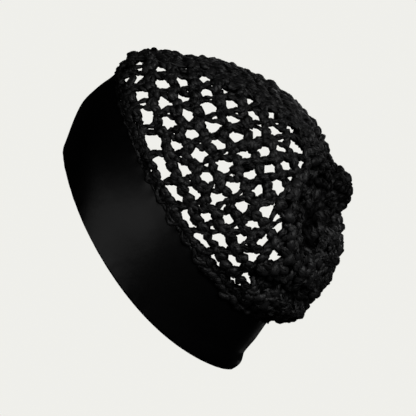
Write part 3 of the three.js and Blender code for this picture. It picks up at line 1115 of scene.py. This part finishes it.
def black_yarn(graph):
    """Black ribbon yarn: soft plies along the strand, with a lustre that comes and goes, and painted light
    and shade: lighter and glossier on the crests, darker and dull on the flanks, in the pinches and in the
    creases.
    """
    colour = tuple(bpy.context.scene.bonnet_colours.yarn)
    spot = graph.add("ShaderNodeTexCoord")["Object"]
    ring = graph.unpack(graph.kept("round", "Vector"))
    along = graph.kept("along")
    turn = ring["X"].math("ARCTAN2", ring["Y"], ring["X"])
    fibres = (turn * 7.0 + along * (TURN / (2.4 * MM))).sin() * 0.5 + 0.5
    fuzz = graph.noise(spot, 1500.0, 3.0, 0.65)
    lumps = graph.noise(spot, 210.0, 3.0, 0.55)
    patches = graph.noise(spot, 42.0, 2.0, 0.5)
    streaks = graph.noise(graph.pack(ring["X"] * 1.7, ring["Y"] * 1.7, along * 240.0), 1.0, 3.0, 0.6)

    # Painted shade: the crest is how far the yarn's surface faces outwards, leaned a little towards the side
    # it lies on; the flanks turned away are painted darker.
    out = graph.unpack(graph.kept("out", "Vector"))
    sideways = out["Y"] + out["Y"].sign() * 0.4
    facing = graph.vector("NORMALIZE", graph.pack(out["X"], sideways, out["Z"]))
    normal = graph.add("ShaderNodeNewGeometry")["Normal"]
    crest = graph.add("ShaderNodeVectorMath", {"operation": "DOT_PRODUCT"}, {0: normal, 1: facing})["Value"]
    # The painted crest light, scaled by each spot's share of painted light.
    painted_crest_light = (crest * 1.9 + lumps * 0.5 - 0.5).limited() * graph.kept("open")
    mottled = lumps * 2.2 + streaks * 3.4 + patches * 1.0 + fibres * 0.3
    # The tone mix: painted shade in the pinches where the yarn puffs least, with random mottling of its
    # tone, held within the painted crest light. It darkens the base colour and dulls the finish.
    tone_mix = ((graph.kept("puff") * 0.5 + mottled - 3.1).limited() * painted_crest_light).limited()
    base = graph.tint(tone_mix, shade(colour, 0.08), shade(colour, 2.2))

    plies = graph.bump(fibres, 0.22 * MM, 0.5)
    relief = graph.bump(lumps, MM, 0.8, plies)
    hairy = graph.bump(fuzz, 0.1 * MM, 0.15, relief)
    # A dark, dull finish where the yarn is in painted shade and a glossy one where it is in painted light.
    deep = graph.gloss(base, 0.95, 0.06, relief)
    crown = graph.gloss(base, (fuzz * 0.2 + lumps * 0.2).between(0.34, 1.0), 0.65, hairy)
    return graph.add("ShaderNodeMixShader", None, {0: tone_mix, 1: deep, 2: crown})[0]


def studio_floor(graph):
    """A pale matt floor, a little uneven in tone."""
    colour = tuple(bpy.context.scene.bonnet_colours.backdrop)
    spot = graph.add("ShaderNodeTexCoord")["Object"]
    base = graph.tint(graph.noise(spot, 9.0, 3.0, 0.5), shade(colour, 0.8), shade(colour, 1.0))
    sockets = {"Base Color": base, "Roughness": 0.9, "Emission Color": base, "Emission Strength": 0.55}
    return graph.add("ShaderNodeBsdfPrincipled", None, sockets)[0]


# Pieces


def band_relief(at, angle):
    """Soft undulations of the cloth and small puckers under the seam."""
    side = np.arccos(np.clip(np.cos(angle), -1, 1))
    across = at / -RIM
    broad = np.sin(side * 5.3 + across * 2.2) * np.sin(across * 3.4 + 0.8 + side * 1.7)
    fine = np.sin(side * 31 + np.sin(side * 9) * 1.4) * 0.6 + np.sin(side * 53 + 1.3) * 0.4
    near_seam = np.exp(-((at / SEAM_REACH) ** 2))
    near_rim = np.exp(-(((at - RIM) / RIM_REACH) ** 2))
    return broad * WAVE_HEIGHT + fine * (near_seam * SEAM_PUCKER + near_rim * RIM_PUCKER)


def band_rows(wall, rim):
    """The rows of the band's skin: down the outside, round the rim's fold and back up inside."""
    angles = np.linspace(0, TURN, BAND_SIDES, endpoint=False)
    share = 1 - (1 - np.linspace(0, 1, BAND_STEPS + 1)) ** BAND_CROWDING
    deep = np.linalg.norm(surface(RIM + 0.1, angles) - surface(RIM, angles), axis=1) / 0.1
    at = share[:, None] * (rim / 2 / deep + RIM)
    turn = angles + 0 * at
    nape = np.arccos(np.clip(-np.cos(angles), -1, 1))
    hem = np.exp(-((nape / NAPE_WIDTH) ** 2))
    _, leave, down = curve_at(HEM, share)
    along, out = directions(at, turn)
    relief = band_relief(at, turn) + leave[:, None] * hem
    middle = surface(at, turn) + out * relief[..., None] - along * (down[:, None] * hem)[..., None]
    forth = unit(np.gradient(middle, axis=0))
    around = np.roll(middle, -1, axis=1) - np.roll(middle, 1, axis=1)
    out = unit(np.cross(forth, around))
    half = (wall + (rim - wall) * share[:, None, None] ** FOLD_POWER) / 2
    bends = np.linspace(0, math.pi, FOLD_STEPS + 1)[1:-1]
    fold = [middle[-1] + (out[-1] * math.cos(bend) + forth[-1] * math.sin(bend)) * rim / 2 for bend in bends]
    return np.concatenate([middle + out * half, np.array(fold), (middle - out * half)[::-1]])


def make_band(sizes):
    """The satin band: one soft shell from the seam round the rim's fold and back up inside."""
    rows = band_rows(sizes.band_wall / MM, sizes.rim_fold / MM)
    count = len(rows)
    strips = np.linalg.norm(np.diff(rows, axis=0), axis=2).mean(axis=1) * MM
    down = np.concatenate([[0], np.cumsum(strips)])
    j, i = np.meshgrid(np.arange(count), np.arange(BAND_SIDES), indexing="ij")
    here = j * BAND_SIDES
    there = (j + 1) % count * BAND_SIDES
    beside = (i + 1) % BAND_SIDES
    faces = np.stack([here + i, there + i, there + beside, here + beside], axis=-1).reshape(-1, 4)
    low = down[j]
    high = np.append(down[1:], down[-1] + sizes.band_wall)[j]
    left = i / BAND_SIDES * RING_LENGTH
    right = (i + 1) / BAND_SIDES * RING_LENGTH
    cloth = np.stack([left, low, left, high, right, high, right, low], axis=-1)
    mesh = bpy.data.meshes.new("satin_band")
    mesh.from_pydata((rows.reshape(-1, 3) * MM).tolist(), [], faces.tolist())
    mesh.uv_layers.new(name="Cloth").data.foreach_set("uv", cloth.ravel())
    mesh.polygons.foreach_set("use_smooth", [True] * len(faces))
    mesh.materials.append(finish_of("black satin", black_satin))
    face_out(mesh)
    return linked("satin_band", mesh)


def face_out(mesh):
    """Turns a closed skin whose faces all agree so that they point outwards."""
    mesh.calc_loop_triangles()
    corners = np.array([tuple(corner.vertices) for corner in mesh.loop_triangles])
    points = np.array([tuple(vertex.co) for vertex in mesh.vertices])
    a, b, c = (points[corners[:, i]] for i in range(3))
    if (a * np.cross(b, c)).sum() < 0:
        mesh.flip_normals()


def net_post(guide, sizes, foot, head, share):
    """A post of the net, or its two legs where no post stands on its head."""
    start = (foot.at, foot.angle)
    if head.feet:
        strand_between(guide, start, (head.at, head.angle), POST_BRAID, sizes, share)
        return
    spread = LEG_SPREAD * girth_at(head.at) / per_turn(head.at, head.angle)
    for side in (-1, 1):
        strand_between(guide, start, (head.at, head.angle + side * spread), POST_BRAID, sizes, LEG)


def net_line(guide, sizes, knots, share):
    """A line of knots round the head and the strands between them."""
    for knot, other in zip(knots, knots[1:] + knots[:1]):
        ends = (knot.at, knot.angle), (other.at, other.angle)
        strand_between(guide, *ends, LINE_BRAID, sizes, share)
        size = girth_at(knot.at) * share
        if folded(knot.angle) < open_range(knot.at)[0]:
            knot_on_net(guide, *ends[0], SHUT_KNOT, 1, size)
        elif knot.feet:
            knot_on_net(guide, *ends[0], POST_KNOT, 1, size)
        else:
            shift = side_of(knot.angle) * LEG_SPREAD * size / per_turn(knot.at, knot.angle)
            knot_on_net(guide, knot.at, knot.angle - shift, LEG_KNOT, 1, size)


def make_net(sizes, name, first, last, seed):
    """The posts and knots of some rounds, with the line of knots that starts each."""
    posts, lines = lattice()
    guide = Guide()
    for r in range(first, last + 1):
        line, tops = lines[r], lines[r + 1]
        for i in range(len(posts[r])):
            foot = next(knot for knot in line if i in knot.feet)
            head = next(knot for knot in tops if i in knot.heads)
            net_post(guide, sizes, foot, head, FIRST_POST if r == 0 else 1.0)
        if r == 0:
            low_row(guide, sizes)
        net_line(guide, sizes, line, FIRST_LINE if r == 0 else 1.0)
        if r == len(ROUNDS) - 1:
            net_line(guide, sizes, tops, 1.0)
    return crochet(guide, name, sizes, seed=seed)


def low_row(guide, sizes):
    """The low row of small meshes over the forehead, alike on both sides."""

    def stop_at(degrees, side):
        return LowRow(*line_at(LOW_ROW, degrees)).at, math.radians(degrees) * side

    stops = sorted({*LOW_STOPS, *LOW_POSTS})
    for side in (1, -1):
        for start, end in zip(stops, stops[1:]):
            place = stop_at(start, side)
            strand_between(guide, place, stop_at(end, side), LINE_BRAID, sizes, LOW_LINE)
            height = float(np.interp(start, LOW_RISE, LOW_HEIGHTS))
            knot_on_net(guide, *place, LOW_KNOT._replace(height=height), 4)
        for post in LOW_POSTS:
            head = stop_at(post, side)
            foot = (place_from_seam(head[1], LOW_START), head[1])
            strand_between(guide, foot, head, POST_BRAID, sizes, LOW_POST)


def make_ridge(sizes):
    """Rows of flat stitches that lie side by side along the top, where the meshes are pulled shut."""
    guide = Guide()
    pitch = math.radians(RIDGE_PITCH)
    for row in range(RIDGE_ROWS):
        angle = (row + 0.5) * pitch
        at = np.array([at for at in np.arange(*RIDGE_RINGS) if open_range(at)[0] > angle])
        if len(at) < 3:
            continue
        for side in (1, -1):
            turn = side * (angle + RIDGE_SWAY * pitch * np.sin(at * RIDGE_SWAY_RATE + row))
            dip = np.exp(-(((at - RIDGE_DIP_AT) / RIDGE_DIP_WIDTH) ** 2))
            low = RIDGE_DEPTH + RIDGE_DIP * dip
            wave = RIDGE_WAVE * np.sin(at * RIDGE_WAVE_RATE + 2 * row)
            points = over_net(at, turn, wave - low)
            outs = directions(at, turn)[1]
            guide.strand(points, outs, RIDGE_GIRTH, LINE_BRAID, RIDGE_STITCH, row * 1.7, RIDGE_PAINTED_LIGHT)
    for at in np.arange(*RIDGE_KNOT_RINGS):
        limit = open_range(at)[0]
        for row in range(RIDGE_ROWS):
            angle = (row + pick(0.2, 0.8, at, row)) * pitch
            if angle < limit and chance(at, row, 3) > 1 - RIDGE_KNOT_SHARE:
                for side in (1, -1):
                    knot_on_net(guide, at + 0.4 * chance(at, row, 5), side * angle, RIDGE_KNOT, 2)
    return crochet(guide, "net_ridge", sizes, seed=11, depth=0.35)


def make_slouch(sizes):
    """Bunched stitches that close the net at the nape and round the gather, under the puffs."""
    guide = Guide()
    seed = 2
    for at in np.arange(SLOUCH_START, SLOUCH_LAST, SLOUCH_ROWS):
        around = strides(surface(at, np.linspace(0, TURN, 73))).sum()
        count = 2 * round(around / 2 / SLOUCH_PITCH)
        for i in range(count):
            angle = TURN * (i + 0.5) / count
            if folded(angle) <= open_range(at)[1]:
                continue
            key = mirrored_key(at, angle, seed)
            turn = angle + side_of(angle) * SLOUCH_TURN * swing(*key, 7) * TURN / count
            place = min(at + SLOUCH_SHIFT * swing(*key, 8) * SLOUCH_ROWS, SLOUCH_END)
            height = SLOUCH_KNOT.height + SLOUCH_UNEVEN * swing(*key, 9)
            knot_on_net(guide, place, turn, SLOUCH_KNOT._replace(height=height), seed)
    return crochet(guide, "net_slouch", sizes, seed=12)


def lump(guide, centre, out, way, long, fat, rise, bend, bare):
    """A fat puff of yarn that arches out of the bunched net and back in. Bare is its share of painted light.
    """
    share = np.linspace(-0.5, 0.5, LUMP_STEPS)[:, None]
    arch = 1 - 4 * share**2
    points = centre + way * long * share + np.cross(out, way) * bend * arch + out * rise * arch
    girth = fat * (LUMP_TIP + (1 - LUMP_TIP) * arch[:, 0] ** 0.6)
    guide.strand(points, np.broadcast_to(out, points.shape), girth, 0.0, long * 2, 0.3, bare)


def lump_pair(guide, centre, along, out, lean, long, fat, rise, bend, bare):
    """A puff that leans this far from the way towards the crown, and its twin on the far side."""
    way = along * math.cos(lean) + np.cross(out, along) * math.sin(lean)
    for hand in (1, -1):
        turned = np.array([1, hand, 1])
        lump(guide, centre * turned, out * turned, way * turned, long, fat, rise, bend * hand, bare)


def bobbles(guide):
    """Short fat puffs round the end of the net."""
    for row, (at, down_to, height) in enumerate(NECK):
        limit = math.radians(down_to)
        count = round(strides(surface(at, np.linspace(0, limit, 37))).sum() / NECK_PITCH)
        for i in range(count):
            key = (row, i, 21)
            angle = limit * (i + pick(*PUFF_PLACES, *key, 1)) / count
            along, out = directions(at, angle)
            lean = TURN * chance(*key, 2)
            sunk = NECK_SINK * (1 - math.cos(angle)) / 2
            centre = over(at, angle, height + NECK_UNEVEN * chance(*key, 3) - sunk)
            long = BOBBLE * pick(*NECK_LENGTHS, *key, 4)
            bend = BOBBLE_BEND * swing(*key, 5)
            fat = pick(*NECK_GIRTHS, *key, 6)
            # The bobble's share of painted light, painted darker in a crease as shade.
            bare = NECK_PAINTED_LIGHT * float(painted_crease_light(at, angle))
            lump_pair(guide, centre, along, out, lean, long, fat, NECK_RISE, bend, bare)


def overhang(guide):
    """Puffs that hang over the band's edge beside the nape."""
    for i in range(HANG_COUNT):
        key = (i, 31)
        share = (i + pick(*PUFF_PLACES, *key, 1)) / HANG_COUNT
        angle = math.radians(HANG_FROM + (HANG_TO - HANG_FROM) * share)
        place = HANG_START - HANG_DROP * math.sin(math.pi * share) ** 0.7
        along, out = directions(place, angle)
        lean = math.radians(pick(*HANG_LEANS, *key, 2))
        centre = over(place, angle, HANG_HEIGHT)
        fat = HANG_FAT * pick(*HANG_GIRTHS, *key, 3)
        bend = ARCH_BEND * swing(*key, 4)
        lump_pair(guide, centre, along, out, lean, HANG_LENGTH, fat, HANG_RISE, bend, HANG_PAINTED_LIGHT)


def slouch_puff(guide, key, at, angle, foot, facing):
    """A puff of the slouch. Where the slouch turns from the side, the puff is larger and leans more."""
    away = math.hypot((math.pi - angle) / NAPE_ANGLE, (at - NAPE_AT) / NAPE_RINGS)
    place = at + 0.1 * swing(*key, 2)
    along, out = directions(place, angle)
    turned = ARCH_LEAN + ARCH_LEAN_MORE * (1 - facing)
    lean = math.radians(ARCH_LEAN_CHANCE * facing * swing(*key, 3) + turned)
    centre = over_net(place, angle, foot - NAPE_SINK * math.exp(-(away**2)))
    large = 1 + ARCH_GROWTH * (1 - facing)
    long = ARCH_LENGTH * large * pick(*ARCH_LENGTHS, *key, 4)
    bend = ARCH_BEND * swing(*key, 5)
    rise = ARCH_RISE * pick(*ARCH_RISES, *key, 6)
    fat = large * pick(*ARCH_GIRTHS, *key, 7)
    # The puff's share of painted light, painted darker in a crease as shade and lighter on a fold.
    bare = ARCH_PAINTED_LIGHT * float(painted_crease_light(place, angle))
    lump_pair(guide, centre, along, out, lean, long, fat, rise, bend, bare)


def make_arches(sizes):
    """Puffs of yarn over the slouch, each arching out of it and back in, alike on both sides."""
    guide = Guide()
    bobbles(guide)
    overhang(guide)
    for row, at in enumerate(np.arange(ARCH_START, ARCH_END, ARCH_ROWS)):
        turn = open_range(at)[1]
        turn -= ARCH_LAP / per_turn(at, turn)
        i = 0
        while turn < math.pi:
            key = (row, i, 13)
            facing = max(abs(float(directions(at, turn)[1][1])), ARCH_FACING)
            step = ARCH_PITCH / facing / per_turn(at, turn)
            angle = min(turn + step * pick(0.25, 0.75, *key, 1), math.pi)
            slouch_puff(guide, key, at, angle, ARCH_FOOT + (ARCH_EDGE if i == 0 else 0.0), facing)
            turn += step
            i += 1
    return crochet(guide, "net_arches", sizes, plies=1, step=1.6, sides=9, seed=14)


def make_heading(sizes):
    """The crocheted row on the band's edge: a braid with a row of flat knots on it."""
    guide = Guide()
    angles = np.linspace(0, TURN, HEADING_STEPS)
    at = np.array([place_from_seam(angle, HEADING_AT) for angle in angles])
    points = surface(at, angles)
    around = strides(points).sum()
    stitch = around / round(around / HEADING_STITCH)
    outs = directions(at, angles)[1]
    guide.strand(points, outs, HEADING_GIRTH, LINE_BRAID, stitch, 0.0, HEADING_PAINTED_LIGHT)
    count = 2 * round(around / 2 / HEADING_PITCH)
    for i in range(count):
        angle = TURN * (i + 0.5) / count
        key = (round(folded(angle) * 500), 3)
        place = place_from_seam(angle, pick(*HEADING_PLACES, *key, 1))
        out = tilted(directions(place, angle)[1], HEADING_TILT, key, 2)
        size = pick(*HEADING_SIZES, *key, 5)
        point = over(place, angle, HEADING_HEIGHT)
        guide.knot(point, out, size, TURN * chance(*key, 6), HEADING_FLAT, HEADING_PAINTED_LIGHT)
    return crochet(guide, "heading_stitches", sizes, seed=3)


def make_seam_loops(sizes):
    """A thin cord along the seam and single loops of yarn that hang over the band."""
    guide = Guide()
    angles = np.linspace(0, TURN, HEADING_STEPS)
    lift = sizes.band_wall / MM / 2 + CORD_LIFT
    place = np.full_like(angles, CORD_AT)
    outs = directions(place, angles)[1]
    guide.strand(over(place, angles, lift), outs, CORD_GIRTH, 0.0, CORD_STITCH, 0.0)
    share = np.linspace(0, 1, LOOP_STEPS)
    for loop in LOOPS:
        middle = math.radians(loop.angle)
        deep = np.linalg.norm(surface(-0.1, middle) - surface(0.0, middle)) / 0.1
        at = LOOP_TOP - np.sin(share * math.pi) ** LOOP_POWER * (loop.drop / deep + LOOP_TOP)
        near = middle + (share - 0.5) * loop.width / per_turn(0.0, middle)
        height = lift + LOOP_LIFT + LOOP_CURL * np.cos(share * TURN)
        fat = LOOP_GIRTH + LOOP_PUFF * np.sin(share * math.pi)
        for angle in (near, TURN - near):
            outs = directions(at, angle)[1]
            guide.strand(over(at, angle, height), outs, fat, 0.0, LOOP_STITCH, 0.4, LOOP_PAINTED_LIGHT)
    return crochet(guide, "seam_loops", sizes, plies=1, step=1.0, sides=8, seed=5)


def make_gather(sizes):
    """The knob where the last rounds are drawn together: rings of braid and puffed stitches."""
    top, low = surface(NET_END, 0.0), surface(NET_END, math.pi)
    across = np.array([0.0, 1.0, 0.0])
    axis = unit(np.cross(across, top - low))
    seat = (top + low) / 2 + axis * GATHER_SEAT
    seat[2] -= GATHER_DROP
    up = np.cross(axis, across)

    def spoke_at(turn):
        turn = np.asarray(turn, float)[..., None]
        return across * np.cos(turn) + up * np.sin(turn)

    guide = Guide()
    for number, item in enumerate(GATHER):
        spokes = spoke_at(np.linspace(0, TURN, 37))
        outs = unit(spokes * item.radius / GATHER_WIDE + axis * item.height / GATHER_HIGH)
        rope = seat + spokes * (item.radius - GATHER_DEPTH) + axis * (item.height - GATHER_DEPTH)
        guide.strand(rope, outs, GATHER_GIRTH, LINE_BRAID, GATHER_STITCH, 0.0, GATHER_BRAID_PAINTED_LIGHT)
        for i in range(item.lumps):
            key = (number, i)
            spoke = spoke_at(TURN * (i + 0.5 * (number % 2) + 0.3 * chance(*key, 2)) / item.lumps)
            out = unit(spoke * item.radius / GATHER_WIDE + axis * item.height / GATHER_HIGH)
            centre = seat + spoke * item.radius + axis * item.height
            centre = centre + out * (GATHER_UNEVEN * swing(*key, 3) - BOBBLE_RISE)
            size = item.size * pick(*GATHER_SIZES, *key, 4)
            way = unit(np.cross(out, spoke_at(TURN * chance(*key, 5)) + spoke * 0.2))
            bend = BOBBLE_BEND * swing(*key, 6)
            lump(guide, centre, out, way, BOBBLE, size, BOBBLE_RISE, bend, GATHER_PAINTED_LIGHT)
    heart = GATHER_HEART
    guide.knot(seat + axis * heart.height, axis, heart.size, 0.4, heart.flat, heart.bare)
    return crochet(guide, "gather_knot", sizes, plies=1, step=1.1, sides=10, seed=9)


# The stage


def make_floor():
    """A round floor that is only seen: it neither shades nor lights the bonnet."""
    mesh = bpy.data.meshes.new("floor")
    turns = [TURN * i / FLOOR_SIDES for i in range(FLOOR_SIDES)]
    rim = [(FLOOR_RADIUS * math.cos(turn), FLOOR_RADIUS * math.sin(turn), FLOOR_LEVEL) for turn in turns]
    mesh.from_pydata(rim, [], [tuple(range(FLOOR_SIDES))])
    mesh.materials.append(finish_of("studio floor", studio_floor))
    floor = linked("floor", mesh)
    floor.visible_diffuse = False
    floor.visible_glossy = False
    floor.visible_shadow = False
    return floor


def make_camera():
    """A camera square to the bonnet's side."""
    camera = bpy.data.cameras.new("camera")
    camera.type = "ORTHO"
    camera.ortho_scale = VIEW_WIDTH
    camera.clip_end = 10
    eye = linked("camera", camera)
    eye.location = CAMERA_AT
    eye.rotation_euler = (math.pi / 2, 0, 0)
    return eye


def make_light(item):
    light = bpy.data.lights.new(item.name, "AREA")
    light.shape = "RECTANGLE"
    light.size, light.size_y = item.size
    light.energy = item.power
    lamp = linked(item.name, light)
    lamp.location = item.place
    lamp.rotation_euler = (Vector(item.aim) - Vector(item.place)).to_track_quat("-Z", "Y").to_euler()


def make_world(backdrop):
    """A backdrop that the camera sees, and a faint even light that the bonnet gets."""
    world = bpy.data.worlds.new("studio")
    world.use_nodes = True
    world.node_tree.nodes.clear()
    graph = Graph(world.node_tree)

    def glow(colour, strength):
        return graph.add("ShaderNodeBackground", None, {"Color": colour, "Strength": strength})[0]

    eye_ray = graph.add("ShaderNodeLightPath")["Is Camera Ray"]
    sockets = {0: eye_ray, 1: glow((0.9, 0.95, 1.0, 1), 0.003), 2: glow((*backdrop, 1), 1.0)}
    mixed = graph.add("ShaderNodeMixShader", None, sockets)[0]
    graph.add("ShaderNodeOutputWorld", None, {"Surface": mixed})
    return world


class StageOperator(bpy.types.Operator):
    """Sets up the floor, the backdrop, the lights and the camera."""

    bl_idname = "bonnet.make_stage"
    bl_label = "Make stage"

    def execute(self, context):
        context.scene.camera = make_camera()
        floor = make_floor()
        context.scene.world = make_world(context.scene.bonnet_colours.backdrop)
        for item in LIGHTS:
            make_light(item)
        context.scene.view_settings.view_transform = "Standard"
        context.scene.view_settings.look = "None"
        return {"FINISHED"}


class BandOperator(bpy.types.Operator):
    """Makes the satin band with its soft fold along the rim."""

    bl_idname = "bonnet.make_band"
    bl_label = "Make band"

    def execute(self, context):
        band = make_band(context.scene.bonnet_sizes)
        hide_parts("band")
        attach(band, BODY)
        return {"FINISHED"}


class HeadingOperator(bpy.types.Operator):
    """Makes the crocheted heading, the cord along the seam and the loops that hang from it."""

    bl_idname = "bonnet.make_heading"
    bl_label = "Make heading"

    def execute(self, context):
        sizes = context.scene.bonnet_sizes
        for made in (make_heading(sizes), make_seam_loops(sizes)):
            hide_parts("net_heading")
            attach(made, BODY)
        return {"FINISHED"}


class NetOperator(bpy.types.Operator):
    """Makes the crochet net of the crown, in parts from the band to the gather."""

    bl_idname = "bonnet.make_net"
    bl_label = "Make net"

    def execute(self, context):
        sizes = context.scene.bonnet_sizes
        parts = [
            make_net(sizes, "net_front", 0, 1, 21),
            make_net(sizes, "net_middle", 2, 3, 22),
            make_net(sizes, "net_back", 4, 5, 23),
            make_net(sizes, "net_end", 6, 9, 24),
            make_ridge(sizes),
            make_slouch(sizes),
            make_arches(sizes),
        ]
        for made in parts:
            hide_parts("crown_net")
            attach(made, BODY)
        return {"FINISHED"}


class GatherOperator(bpy.types.Operator):
    """Makes the knob that draws the net together at the back."""

    bl_idname = "bonnet.make_gather"
    bl_label = "Make gather"

    def execute(self, context):
        made = make_gather(context.scene.bonnet_sizes)
        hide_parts("crown_gather")
        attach(made, BODY)
        return {"FINISHED"}


class BonnetPanel(bpy.types.Panel):
    """Lists the bonnet's sizes, colours and pieces."""

    bl_idname = "VIEW3D_PT_bonnet"
    bl_label = "Sleep bonnet"
    bl_space_type = "VIEW_3D"
    bl_region_type = "UI"
    bl_category = "Bonnet"

    def draw(self, context):
        for group in (context.scene.bonnet_sizes, context.scene.bonnet_colours):
            for name in group.__annotations__:
                self.layout.prop(group, name)
        for operator in OPERATORS:
            self.layout.operator(operator.bl_idname)


OPERATORS = (StageOperator, BandOperator, HeadingOperator, NetOperator, GatherOperator)
CLASSES = (BonnetSizes, BonnetColours, *OPERATORS, BonnetPanel)


def register():
    for item in CLASSES:
        bpy.utils.register_class(item)
    bpy.types.Scene.bonnet_sizes = bpy.props.PointerProperty(type=BonnetSizes)
    bpy.types.Scene.bonnet_colours = bpy.props.PointerProperty(type=BonnetColours)


def unregister():
    del bpy.types.Scene.bonnet_colours
    del bpy.types.Scene.bonnet_sizes
    for item in reversed(CLASSES):
        bpy.utils.unregister_class(item)


def main():
    register()
    bpy.ops.bonnet.make_stage()
    bpy.ops.bonnet.make_band()
    bpy.ops.bonnet.make_heading()
    bpy.ops.bonnet.make_net()
    bpy.ops.bonnet.make_gather()


if __name__ == "__main__":
    main()
